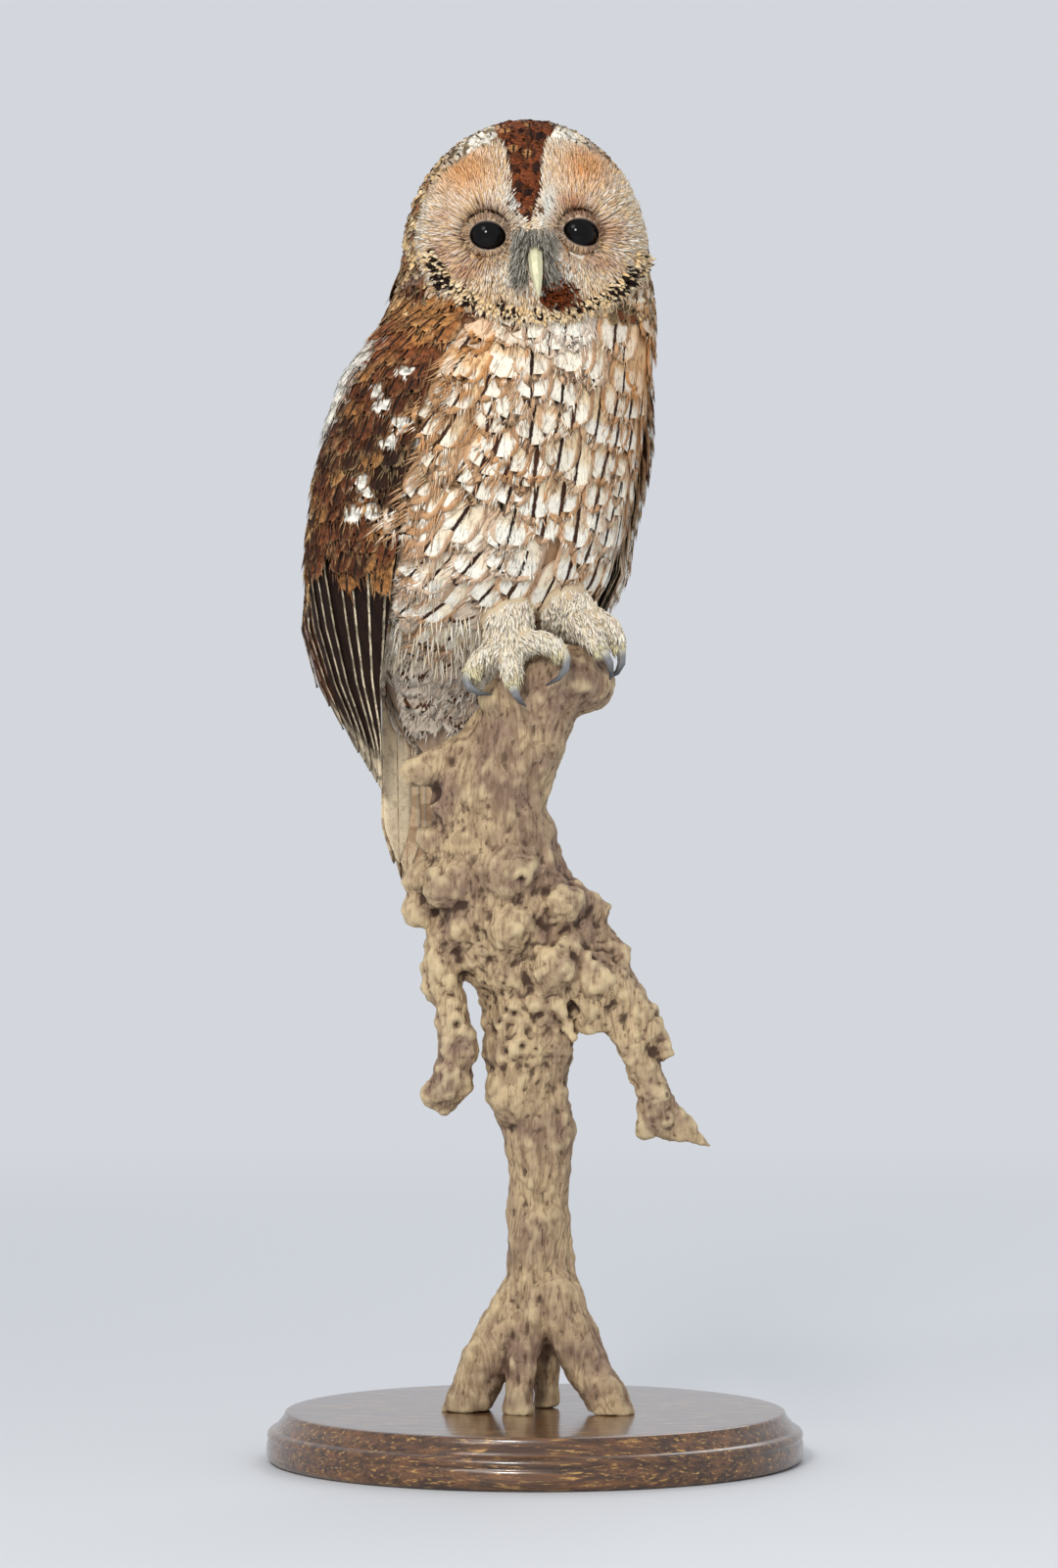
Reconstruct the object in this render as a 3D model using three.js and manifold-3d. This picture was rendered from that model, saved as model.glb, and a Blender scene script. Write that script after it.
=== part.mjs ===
// A taxidermy tawny owl at life size, standing on a gnarled root that is fixed to a turned oak base.
// Millimetres, +Z up, origin at the centre of the base's underside. The owl looks towards -Y, and its
// body is turned about 30 degrees towards +X.
import * as THREE from 'three';
import { mergeVertices } from 'three/addons/utils/BufferGeometryUtils.js';
import Module from 'manifold-3d';

const wasm = await Module();
wasm.setup();

// ---- driving dimensions ----
const gap = 0.3; // clearance between touching pieces
const baseRadius = 131.5;
const baseHeight = 24.5;
const crownHeight = 656; // top of the head above the table
const headCentreHeight = 585; // the skull is domed above this level and a column below it
const headNeckHeight = 555; // level of the cut between head and neck
const neckTrunkHeight = 538; // level of the cut between neck and trunk
const trunkEndHeight = 341; // tip of the undertail coverts
const bodyYaw = 30; // degrees that the body is turned towards +X
const headYaw = 9; // degrees that the face is turned towards +X
const bodyOrigin = new THREE.Vector2(-25, 20); // plan position of the body's own frame
const eyeRadius = 9.6;
const bodySides = 26; // facets round the head, neck and trunk
const bodySquareness = 2.15; // power of the body's level outline: 2 would be an ellipse
const domeShare = 0.965; // how far up the dome's quarter turn the last ring stands
const eyeDepth = 4.6; // how far an eyeball's centre lies behind the face
const eyePlaces = { right: [-22.8, 595.6], left: [20.5, 597] }; // x and z of the two eyes
const billPlace = [0, 585.5]; // x and z where the bill leaves the face

// ---- colours ----
const looks = {
  oak: { color: 0x62421f, roughness: 0.3 },
  wood: { color: 0xb9a080, roughness: 0.9 },
  face: { color: 0xd6a878, roughness: 0.95 },
  breast: { color: 0xd8c4a4, roughness: 0.95 },
  wing: { color: 0x70482c, roughness: 0.9 },
  flight: { color: 0x4a3226, roughness: 0.85 },
  tail: { color: 0x8a6a4c, roughness: 0.85 },
  foot: { color: 0xe6dcc6, roughness: 0.95 },
  claw: { color: 0x4a4c52, roughness: 0.35 },
  eye: { color: 0x0c0a0a, roughness: 0.03 },
  bill: { color: 0xdcd6ac, roughness: 0.4 },
};

// ---- helpers ----

// Values between the rows of a table, by a smooth curve through them: the first number of a row is where
// it stands, and the rows run in rising order.
function smoothTable(rows) {
  const slope = rows.map((row, i) => {
    const before = rows[Math.max(i - 1, 0)];
    const after = rows[Math.min(i + 1, rows.length - 1)];
    return row.map((value, k) => (after[k] - before[k]) / (after[0] - before[0]));
  });
  return (place) => {
    let i = 0;
    while (i < rows.length - 2 && place > rows[i + 1][0]) i += 1;
    const span = rows[i + 1][0] - rows[i][0];
    const t = THREE.MathUtils.clamp((place - rows[i][0]) / span, 0, 1);
    return rows[i].map((value, k) => {
      const end = rows[i + 1][k];
      const rise = (3 - 2 * t) * t * t;
      const lead = t * (1 - t) * (1 - t) * span * slope[i][k];
      const trail = t * t * (t - 1) * span * slope[i + 1][k];
      return value + (end - value) * rise + lead + trail;
    });
  };
}

// A closed geometry from rings of points, one ring after the other. Each end closes on the middle of its
// ring, and the faces are turned outwards by the sign of the volume.
function geometryFromRings(rings) {
  const count = rings[0].length;
  const middle = (ring) => ring.reduce((sum, p) => sum.add(p), new THREE.Vector3()).divideScalar(count);
  const points = [...rings.flat(), middle(rings[0]), middle(rings.at(-1))];
  const faces = [];
  for (let r = 0; r < rings.length - 1; r += 1) {
    for (let k = 0; k < count; k += 1) {
      const next = (k + 1) % count;
      const [a, b] = [r * count + k, r * count + next];
      const [c, d] = [a + count, b + count];
      faces.push([a, b, d], [a, d, c]);
    }
  }
  const last = (rings.length - 1) * count;
  for (let k = 0; k < count; k += 1) {
    const next = (k + 1) % count;
    faces.push([next, k, points.length - 2], [last + k, last + next, points.length - 1]);
  }
  const volume = faces.reduce((sum, [a, b, c]) => {
    return sum + points[a].dot(new THREE.Vector3().crossVectors(points[b], points[c]));
  }, 0);
  const turned = volume > 0 ? faces : faces.map(([a, b, c]) => [a, c, b]);
  const geometry = new THREE.BufferGeometry();
  geometry.setAttribute('position', new THREE.Float32BufferAttribute(points.flatMap((p) => p.toArray()), 3));
  geometry.setIndex(turned.flat());
  return geometry;
}

function solidOf(geometry) {
  const bare = geometry.clone();
  bare.deleteAttribute('normal');
  bare.deleteAttribute('uv');
  const merged = mergeVertices(bare, 1e-3);
  return new wasm.Manifold(new wasm.Mesh({
    numProp: 3,
    vertProperties: new Float32Array(merged.attributes.position.array),
    triVerts: new Uint32Array(merged.index.array),
  }));
}

// The largest body of a solid, as a geometry: crumbs that a cut leaves are dropped.
function geometryOf(solid) {
  const bodies = solid.decompose().sort((a, b) => b.volume() - a.volume());
  const mesh = bodies[0].simplify(0.05).getMesh();
  const geometry = new THREE.BufferGeometry();
  geometry.setAttribute('position', new THREE.Float32BufferAttribute(mesh.vertProperties, 3));
  geometry.setIndex(Array.from(mesh.triVerts));
  return geometry;
}

const joined = (solids) => solids.reduce((sum, solid) => sum.add(solid));

// A round limb through stations of x, y, z and radius. The radius across (in plan) and the radius along Z
// or the depth may differ, as a fifth number. grow swells it on every side.
function limb(stations, { sides = 10, steps = 6, grow = 0, rough = 0 } = {}) {
  const curve = new THREE.CatmullRomCurve3(stations.map(([x, y, z]) => new THREE.Vector3(x, y, z)));
  const radii = new THREE.CatmullRomCurve3(stations.map((s) => new THREE.Vector3(s[3], s[4] ?? s[3], 0)));
  const reference = new THREE.Vector3(0, -1, 0);
  const rings = [];
  for (let i = 0; i <= steps; i += 1) {
    const t = i / steps;
    const along = curve.getTangent(t);
    const side = new THREE.Vector3().crossVectors(along, reference).normalize();
    const front = new THREE.Vector3().crossVectors(side, along).normalize();
    const end = i === 0 ? -grow : i === steps ? grow : 0;
    const centre = curve.getPoint(t).addScaledVector(along, end);
    const radius = radii.getPoint(t);
    rings.push(Array.from({ length: sides }, (_, k) => {
      const angle = (2 * Math.PI * k) / sides;
      const point = centre.clone();
      const knobbly = 1 + rough * gnarl(centre, angle);
      point.addScaledVector(side, Math.cos(angle) * (radius.x * knobbly + grow));
      return point.addScaledVector(front, Math.sin(angle) * (radius.y * knobbly + grow));
    }));
  }
  return solidOf(geometryFromRings(rings));
}

// A smooth unevenness between -1 and 1, from sines of the place and the angle round a limb.
function gnarl(place, angle) {
  const waves = Math.sin(0.11 * place.z + 2 * angle) + Math.sin(0.19 * place.z - 3 * angle + 1.3);
  return (waves + Math.sin(0.07 * place.x + 4 * angle + 0.6)) / 3;
}

// A faceted ball, turned differently at each place so that neighbours do not look alike.
function knob([x, y, z], radius) {
  const ball = new THREE.IcosahedronGeometry(radius, 1);
  ball.rotateX(0.3 + 0.2 * x);
  ball.translate(x, y, z);
  return solidOf(ball);
}

function planAxes(yawDegrees) {
  const yaw = THREE.MathUtils.degToRad(yawDegrees);
  return {
    left: new THREE.Vector2(Math.cos(yaw), Math.sin(yaw)),
    front: new THREE.Vector2(Math.sin(yaw), -Math.cos(yaw)),
  };
}

// A point of the body's own frame: s to the owl's right, f to its front, z up.
function bodyPoint(s, f, z) {
  const { left, front } = planAxes(bodyYaw);
  const plan = bodyOrigin.clone().addScaledVector(left, -s).addScaledVector(front, f);
  return new THREE.Vector3(plan.x, plan.y, z);
}

// ---- the body: one lofted shape from the undertail coverts to the crown ----

// Rows: height, offset to the owl's right, offset to the front, half width on its right and on its left,
// depth to the front and to the back, yaw.
const bodyShape = smoothTable([
  [trunkEndHeight, 3.5, -38, 12, 12, 5, 7, bodyYaw],
  [360, 4, -35, 27, 27, 12, 16, bodyYaw],
  [375, 6, -31, 34, 34, 18, 24, bodyYaw],
  [390, 7, -25, 43, 41, 29, 33, bodyYaw],
  [402, 8, -17, 53, 51, 42, 42, bodyYaw],
  [416, 8.7, -9, 63, 68, 54, 50, bodyYaw],
  [435, 9.8, -4, 71, 77, 64, 55, bodyYaw],
  [456, 7.8, 0, 74, 80, 67, 57, bodyYaw],
  [479, 5.8, 4, 75, 81, 67, 58, bodyYaw],
  [508, 3.5, 12, 73, 79, 66, 58, bodyYaw],
  [536, 0.6, 21, 71, 76, 60, 56, 27],
  [559, -5, 27, 67, 68, 53, 53, 15],
  [headCentreHeight, -4, 34, 61.5, 61.5, 49, 52, headYaw],
]);

// The same numbers above the middle of the head, where the skull closes in a dome: the sides follow an
// ellipse, and the brow follows a squarer curve than the back of the head.
function headShape(z) {
  if (z <= headCentreHeight) return bodyShape(z);
  const [, s, f, right, left, front, back, yaw] = bodyShape(headCentreHeight);
  const t = Math.min((z - headCentreHeight) / (crownHeight - headCentreHeight), 1);
  const dome = (power) => Math.pow(Math.max(1 - Math.pow(t, power), 0), 1 / power);
  const lean = 2.6 * t * t - 2 * t; // how far the crown tips over
  const sides = dome(2);
  return [z, s - lean, f, right * sides, left * sides, front * dome(2.4), back * dome(2.1), yaw];
}

// How far the face stands out at x and z: a shallow dish round each eye, the ridge between the eyes that
// carries the bill, and the raised rim of the disc.
function faceRelief(x, z) {
  const near = (cx, cz, size) => Math.exp(-((x - cx) ** 2 + (z - cz) ** 2) / (size * size));
  const dishes = near(...eyePlaces.right, 17) + near(...eyePlaces.left, 17);
  const ridge = Math.exp(-(((x - billPlace[0]) / 8) ** 2) - ((z - 590) / 24) ** 2);
  const rim = Math.hypot((x + 2) / 53, (z - 590) / 41);
  return -6 * dishes + 3.5 * ridge + 2 * Math.exp(-(((rim - 1) / 0.13) ** 2));
}

function bodyRing(z, sides, grow) {
  const [, s, f, right, left, front, back, yaw] = headShape(z);
  const centre = bodyPoint(s, f, z);
  const axes = planAxes(yaw);
  return Array.from({ length: sides }, (_, k) => {
    const angle = (2 * Math.PI * (k + 0.5)) / sides;
    const [c, d] = [Math.cos(angle), Math.sin(angle)];
    const sum = Math.abs(c) ** bodySquareness + Math.abs(d) ** bodySquareness;
    const round = Math.pow(sum, -1 / bodySquareness);
    const across = c * round * ((c > 0 ? left : right) + grow);
    const ahead = d * round * ((d > 0 ? front : back) + grow);
    const point = centre.clone();
    point.x += axes.left.x * across + axes.front.x * ahead;
    point.y += axes.left.y * across + axes.front.y * ahead;
    const faceShare = THREE.MathUtils.smoothstep(z, 556, 572) * THREE.MathUtils.smoothstep(d, 0.25, 0.7);
    point.y -= faceShare * faceRelief(point.x, z);
    return point;
  });
}

// A length of the body between two levels, swollen by grow on every side.
function bodyGeometry(low, high, count, grow = 0) {
  const rings = Array.from({ length: count + 1 }, (_, i) => {
    return bodyRing(THREE.MathUtils.lerp(low, high, i / count), bodySides, grow);
  });
  rings[0].forEach((p) => p.setZ(low - grow));
  rings.at(-1).forEach((p) => p.setZ(high + grow));
  return geometryFromRings(rings);
}

const trunkGeometry = (grow) => bodyGeometry(trunkEndHeight, neckTrunkHeight, 11, grow);
const neckGeometry = (grow) => bodyGeometry(neckTrunkHeight + gap, headNeckHeight, 2, grow);

// The head's rings crowd towards the crown, so that the dome is round.
function headGeometry() {
  const columnRings = 4;
  const domeRings = 8;
  const rings = [];
  for (let i = 0; i < columnRings; i += 1) {
    const z = THREE.MathUtils.lerp(headNeckHeight + gap, headCentreHeight, i / columnRings);
    rings.push(bodyRing(z, bodySides, 0));
  }
  for (let i = 0; i <= domeRings; i += 1) {
    const rise = Math.sin((i / domeRings) * domeShare * Math.PI * 0.5);
    rings.push(bodyRing(THREE.MathUtils.lerp(headCentreHeight, crownHeight, rise), bodySides, 0));
  }
  return geometryFromRings(rings);
}

// The y of the face's surface at x and z, from the ring at that height.
function faceSurface(x, z) {
  const ring = bodyRing(z, 360, 0).filter((p) => p.y < -20);
  const nearest = ring.reduce((best, p) => (Math.abs(p.x - x) < Math.abs(best.x - x) ? p : best));
  return nearest.y;
}

// ---- eyes and bill ----

function eyeball([x, z], grow) {
  const ball = new THREE.SphereGeometry(eyeRadius + grow, 10, 6);
  ball.rotateX(Math.PI / 2);
  ball.translate(x, faceSurface(x, z) + eyeDepth, z);
  return solidOf(ball);
}

function billSolid(grow) {
  const [x, z] = billPlace;
  const y = faceSurface(x, z);
  return limb([
    [x, y + 5, z + 4, 4, 5],
    [x + 0.3, y - 3, z - 1.5, 4.2, 5.4],
    [x + 0.9, y - 6.5, z - 9, 3.4, 4.6],
    [x + 1.5, y - 6, z - 16, 2, 2.8],
    [x + 1.8, y - 3.5, z - 20.5, 0.5, 0.6],
  ], { sides: 7, steps: 6, grow });
}

// ---- wings ----

// Rows: height, then s and f of the leading edge, s and f of the trailing edge, the outward swell between
// the two, and the thickness.
const wingShape = smoothTable([
  [325, 45, -28, 45, -33, 0, 1.4],
  [332, 46.5, -25, 46.5, -39, 1.5, 1.8],
  [352, 52, -15, 54, -46, 4, 2.6],
  [379, 60, 0, 66, -51, 9, 3.6],
  [407, 67, 20, 71, -55, 15, 6],
  [435, 72.6, 37.8, 60.3, -55.2, 24.9, 13],
  [456, 72.5, 42.4, 59.8, -52, 25.7, 17],
  [479, 71.3, 46.4, 57.2, -48.7, 26.6, 18],
  [508, 67.8, 54.4, 55.2, -40, 25.5, 18],
  [536, 63.9, 60, 53, -26.5, 23, 17],
  [554, 52.3, 60.5, 42, -18, 20, 14],
]);
const wingTop = 554;
const wingTip = 325;
const wingCut = { lead: 447, trail: 427 }; // the coverts' lower edge on the two edges of the wing
const leftWing = { setBack: 14, tuck: 0.13 }; // how much further back, and closer to the body, it is held

// side is 1 for the owl's right wing and -1 for its left one, whose edge lies further back under the
// feathers of the flank.
function wingSolid(side) {
  const across = 6;
  const down = 9;
  const { setBack, tuck } = side > 0 ? { setBack: 0, tuck: 0 } : leftWing;
  const rings = [];
  for (let i = 0; i <= down; i += 1) {
    const z = THREE.MathUtils.lerp(wingTip, wingTop, i / down);
    const [, leadS, leadF, trailS, trailF, swell, thick] = wingShape(z);
    const narrow = 1 - tuck * THREE.MathUtils.smoothstep(500 - z, 0, 60) + tuck * 0.3;
    const start = new THREE.Vector2(leadS, leadF - setBack * THREE.MathUtils.smoothstep(z, 340, 420));
    const end = new THREE.Vector2(trailS, trailF);
    const chord = end.clone().sub(start).normalize();
    const out = new THREE.Vector2(-chord.y, chord.x);
    const outer = [];
    const inner = [];
    for (let k = 0; k <= across; k += 1) {
      const u = k / across;
      const arch = Math.pow(Math.sin(Math.PI * THREE.MathUtils.clamp(u, 0.001, 0.999)), 0.85);
      const plan = start.clone().lerp(end, u).addScaledVector(out, swell * arch);
      outer.push(bodyPoint(side * plan.x * narrow, plan.y, z));
      plan.addScaledVector(out, -thick * (0.65 + 0.35 * arch));
      inner.push(bodyPoint(side * plan.x * narrow, plan.y, z));
    }
    rings.push([...outer, ...inner.reverse()]);
  }
  return solidOf(geometryFromRings(rings));
}

// A slab that reaches past the wing, above or below its cut, which slopes from the leading edge down to
// the trailing edge.
function wingSide(side, above) {
  const reach = 400;
  const slab = new THREE.BoxGeometry(reach, reach, reach);
  slab.translate(0, 0, above ? reach / 2 + gap / 2 : -reach / 2 - gap / 2);
  slab.rotateX(Math.atan2(wingCut.trail - wingCut.lead, 100));
  slab.rotateZ(THREE.MathUtils.degToRad(bodyYaw));
  const middle = bodyPoint(side * 70, -5, (wingCut.lead + wingCut.trail) / 2);
  slab.translate(middle.x, middle.y, middle.z);
  return solidOf(slab);
}

// ---- tail ----

// Rows: height, offset to the owl's right, offset to the front, half width, half thickness.
const tailShape = smoothTable([
  [267, 3, -45, 7, 1.4],
  [273, 3, -45, 14, 1.8],
  [285, 3, -45, 22, 2.2],
  [303, 3, -45, 28, 2.6],
  [330, 3.5, -45, 32, 3.4],
  [360, 4, -45, 33, 5],
  [385, 4.5, -46, 31, 7],
]);
const tailTip = 267;
const tailRoot = 385;
const tailSides = 12;
const tailBow = 6; // the two edges of the tail lie this far in front of its middle

function tailSolid(grow) {
  const rings = [];
  const levels = 7;
  for (let i = 0; i <= levels; i += 1) {
    const z = THREE.MathUtils.lerp(tailTip, tailRoot, Math.pow(i / levels, 1.25));
    const [, s, f, wide, thick] = tailShape(z);
    const end = i === 0 ? -grow : 0;
    rings.push(Array.from({ length: tailSides }, (_, k) => {
      const angle = (2 * Math.PI * k) / tailSides;
      const x = Math.cos(angle);
      const bow = tailBow * x * x;
      return bodyPoint(s + x * (wide + grow), f + bow + Math.sin(angle) * (thick + grow), z + end);
    }));
  }
  return solidOf(geometryFromRings(rings));
}

// ---- legs, toes and claws ----

// Each leg is feathered down to the toes. Each toe and claw is a short limb through a few stations.
const legs = {
  right: {
    leg: [
      [-17, 0, 440, 17], [-14, -13, 421, 14.5], [-13, -21, 408, 13, 12], [-13.5, -24, 398, 12.5, 11],
      [-14, -25, 391, 7, 7],
    ],
    toes: [
      {
        toe: [[-16, -25, 399, 7], [-24, -31, 394.5, 5.6], [-30, -34, 388.5, 5.2], [-32, -35, 384.5, 3.6]],
        claw: [
          [-31, -34, 386, 2.6], [-33.6, -37, 380.5, 2.4],
          [-28.5, -38, 375.4, 1.8], [-20.5, -37, 374.4, 0.5],
        ],
      },
      {
        toe: [[-13.5, -25, 397, 7.5], [-12.6, -31, 391, 6.2], [-11.8, -33, 384, 5.6], [-11.4, -33, 378.5, 4]],
        claw: [
          [-11.5, -33, 381, 2.6], [-10, -36, 376, 2.4],
          [-7.6, -35.5, 371.5, 1.7], [-4.4, -32, 368.6, 0.5],
        ],
      },
      {
        toe: [[-8, -26, 401, 6.6], [0, -30, 401.5, 5.8], [8, -32, 400, 5.4], [13.6, -32, 395, 4.2]],
        claw: [[13, -31, 396.5, 2.7], [15.6, -34, 390, 2.5], [13, -34.5, 383.5, 1.8], [5, -32, 378.6, 0.5]],
      },
      {
        toe: [[-13, -18, 400, 7], [-12, -4, 397, 6], [-11, 9, 391, 5.4], [-11, 15, 384, 4]],
        claw: [[-11, 14, 386, 2.6], [-11, 19, 382, 2.3], [-11, 20.5, 376, 1.7], [-10, 18.5, 370, 0.5]],
      },
    ],
  },
  left: {
    leg: [
      [0, 16, 444, 17], [5, 4, 428, 15.5], [12, -5, 419, 13.5],
      [21, -8, 415, 12.5, 12.5], [28, -9, 411, 8, 8],
    ],
    toes: [
      {
        toe: [[19, -12, 413, 8], [25, -20, 407, 6.8], [29, -24, 401, 6], [31, -24.5, 395.5, 4.2]],
        claw: [
          [30.6, -24, 397.5, 2.7], [35, -27, 392.5, 2.5],
          [37, -26.5, 387, 1.8], [36.3, -23.5, 381.5, 0.5],
        ],
      },
      {
        toe: [[26, -8, 412, 8], [33.5, -12, 410.5, 6.4], [39, -13, 405, 5.6], [41, -13, 398, 4.2]],
        claw: [
          [40.6, -13, 400, 2.8], [42.5, -13.5, 393, 2.5],
          [41, -14.5, 386.5, 1.9], [36, -15, 382.5, 0.5],
        ],
      },
      {
        toe: [[22, 2, 411, 7], [27, 12, 406, 6], [29, 20, 399, 5.4], [29.5, 22, 392, 4]],
        claw: [[29.5, 21.5, 394, 2.6], [30, 25, 389, 2.3], [29.5, 24.5, 383, 1.7], [28, 21, 378, 0.5]],
      },
      {
        toe: [[8, 4, 413, 7], [4, 15, 408, 6], [2, 23, 400, 5.4], [1.5, 25, 392, 4]],
        claw: [[1.5, 24.5, 394, 2.6], [1, 28, 389, 2.3], [1, 27.5, 383, 1.7], [1.5, 24, 377, 0.5]],
      },
    ],
  },
};

const legSolid = (side, grow) => limb(legs[side].leg, { sides: 8, steps: 4, grow });
const toeSolid = (digit, grow) => limb(digit.toe, { sides: 6, steps: 4, grow });
const clawSolid = (digit, grow) => limb(digit.claw, { sides: 5, steps: 4, grow });

// ---- the driftwood root ----

const woodFacet = 1; // how far the wood's facets may stray from its rounded limbs
const woodLimbs = [
  {
    // the stem, from the fork of the roots up through the burl to the perch
    sides: 10,
    steps: 15,
    stations: [
      [2, 0, 66, 21, 17], [1.5, 0, 84, 18, 15], [2, 0, 103, 16, 14], [2.3, 0, 137, 14.8, 13.5],
      [2, 0, 158, 17, 14.5], [-2, 0, 180, 20, 16], [-3, 0, 205, 21, 17], [-2, 0, 228, 25, 20],
      [-8, 0, 252, 33, 24], [-15, 0, 275, 36, 27], [-22, 0, 300, 32, 26], [-22, -1, 325, 30, 25],
      [-10, -2, 350, 25, 23], [0, -3, 368, 22, 21], [5, -3, 382, 18, 18], [7, -3, 392, 10, 12],
    ],
  },
  {
    // the perch, a short thick stub to the owl's left
    sides: 9,
    steps: 5,
    stations: [
      [-20, -3, 362, 16], [-6, -4, 374, 20], [10, -4, 382, 21], [22, -2, 382, 19.5], [31, 0, 377, 15],
      [36.5, 1, 375, 8],
    ],
  },
  {
    // shoulder and knob at the upper left
    sides: 8,
    steps: 5,
    stations: [
      [-12, -2, 344, 20], [-30, -4, 344, 13], [-46, -5, 341, 10], [-58, -6, 336, 8.5], [-65, -6, 334, 5],
    ],
  },
  {
    // the root at the left
    sides: 8,
    steps: 4,
    stations: [
      [-3, 2, 92, 12], [-13, -2, 70, 13], [-25, -5, 48, 13], [-32, -7, 30, 12.5], [-34, -8, 20, 12.5, 11],
    ],
  },
  {
    // the root in front
    sides: 7,
    steps: 4,
    stations: [
      [-2, -5, 84, 11], [-4, -11, 62, 10], [-7, -16, 44, 8.5],
      [-8, -19, 30, 8], [-8, -20, 20, 8.5],
    ],
  },
  {
    // the root at the right
    sides: 8,
    steps: 4,
    stations: [
      [5, -1, 96, 12], [12, -6, 74, 13], [23, -12, 52, 12], [33, -18, 34, 11.5], [38, -21, 20, 11.5, 11],
    ],
  },
  {
    // the root behind
    sides: 6,
    steps: 4,
    stations: [[4, 5, 84, 11], [5, 9, 62, 9], [5.5, 9, 44, 7], [6, 8, 30, 6.5], [6, 8, 20, 7]],
  },
  {
    // the spur that hangs at the left
    sides: 7,
    steps: 8,
    stations: [
      [-36, -3, 262, 15], [-46, -5, 246, 10.5], [-43, -6, 230, 9], [-38, -7, 212, 7.6], [-38, -8, 200, 9],
      [-39, -8, 189, 11.5], [-47, -9, 179, 9], [-54, -9, 175, 5],
    ],
  },
  {
    // its broken knuckle
    sides: 6,
    steps: 3,
    stations: [[-38, -7, 190, 9], [-42, -7, 178, 7.5], [-46, -7, 169, 3.5]],
  },
  {
    // upper stub on the right of the burl
    sides: 7,
    steps: 3,
    stations: [[4, -2, 280, 13], [20, -3, 274, 9.5], [31, -4, 269, 7.5], [37, -4, 267, 6]],
  },
  {
    // lower stub on the right of the burl
    sides: 7,
    steps: 3,
    stations: [[20, -3, 260, 12], [34, -4, 254, 8], [43, -5, 249, 6], [47.5, -5, 247, 4.5]],
  },
  {
    // the tongue at the right
    sides: 7,
    steps: 6,
    stations: [
      [12, -2, 252, 22], [30, -4, 236, 17], [44, -6, 222, 12], [55, -7, 211, 9.5], [63, -8, 202, 5.5],
      [66, -8, 197, 3],
    ],
  },
  {
    // the spur that hangs from the tongue
    sides: 7,
    steps: 9,
    stations: [
      [38, -5, 224, 13], [46, -6, 208, 11.5], [53.5, -6, 194, 9.6], [57, -6, 183, 8], [61, -6, 173, 9.5],
      [67, -6, 165, 10, 7], [76, -6, 159, 6, 5], [87, -6, 153.5, 2.2],
    ],
  },
  {
    // the short prong of the spur's forked foot
    sides: 6,
    steps: 2,
    stations: [[58, -6, 180, 7], [55, -6, 168, 6], [52.5, -6, 158, 3.5]],
  },
  {
    // the peg under the burl
    sides: 5,
    steps: 3,
    stations: [[8, -14, 236, 9], [14, -17, 222, 5], [17, -18, 211, 2.6], [18, -18, 205, 1.4]],
  },
  {
    // the knuckle under the burl
    sides: 7,
    steps: 3,
    stations: [[22, -9, 232, 13], [27, -10, 219, 10], [30, -10, 209, 5.5]],
  },
  {
    // the bark that ends in a lip on the front of the stem
    sides: 8,
    steps: 4,
    stations: [
      [-8, -6, 218, 14, 12], [-9, -8, 196, 13.5, 12],
      [-10, -8, 178, 12.5, 11], [-11, -6, 166, 8, 8],
    ],
  },
];
// Rounded bosses of the burl: place and radius.
const woodKnobs = [
  [[-43, -14, 281], 14], [[-15.4, -17, 289], 17], [[-11.5, -21, 261], 13], [[8, -20, 240], 12.5],
  [[-34, -12, 262], 12], [[27, -13, 236], 11], [[13, -16, 272], 11.5], [[-50, -6, 304], 10],
  [[-55, -5, 284], 9.5], [[-46, -7, 321], 9], [[-57, -3, 269], 8],
  [[-10, 18, 290], 16], [[12, 15, 260], 14], [[-32, 16, 272], 14],
];
const woodHollows = [[[2.4, -19, 176], 4.5], [[-18, -15, 168], 4], [[-51, -10, 327], 5], [[17, -16, 222], 5]];

function woodSolid() {
  const grown = woodLimbs.map(({ stations, sides, steps }) => limb(stations, { sides, steps, rough: 0.06 }));
  const knobs = woodKnobs.map(([place, radius]) => knob(place, radius));
  const sawn = new THREE.BoxGeometry(200, 200, 40);
  sawn.translate(0, 0, baseHeight - 20); // the roots are cut flat where they stand on the base
  const holes = woodHollows.map(([place, radius]) => knob(place, radius));
  const rough = joined([...grown, ...knobs]).subtract(joined(holes)).simplify(woodFacet);
  return rough.subtract(solidOf(sawn));
}

// ---- the turned base ----

function baseGeometry() {
  const outline = new THREE.Path();
  outline.moveTo(0, 0);
  outline.lineTo(baseRadius - 1, 0);
  outline.lineTo(baseRadius, 1);
  outline.lineTo(baseRadius, 11);
  outline.absarc(baseRadius - 3.2, 13, 3.2, 0, Math.PI / 2, false); // bead
  outline.lineTo(baseRadius - 4.6, 16.2);
  outline.absarc(baseRadius - 4.6, 20.4, 4.2, -Math.PI / 2, -Math.PI, true); // cove
  outline.lineTo(baseRadius - 8.8, 22.8);
  outline.lineTo(baseRadius - 10.2, baseHeight);
  outline.lineTo(0, baseHeight);
  return new THREE.LatheGeometry(outline.getPoints(1), 36).rotateX(Math.PI / 2);
}

// ---- assembly ----

const owl = new THREE.Group();

function place(name, geometry, look) {
  const material = new THREE.MeshStandardMaterial({ ...looks[look], metalness: 0 });
  const mesh = new THREE.Mesh(geometry, material);
  mesh.name = name;
  owl.add(mesh);
}

const wholeBody = joined([trunkGeometry(gap), neckGeometry(gap)].map(solidOf));
const eyes = Object.entries(eyePlaces);
const sockets = eyes.map(([, spot]) => eyeball(spot, gap));

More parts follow.
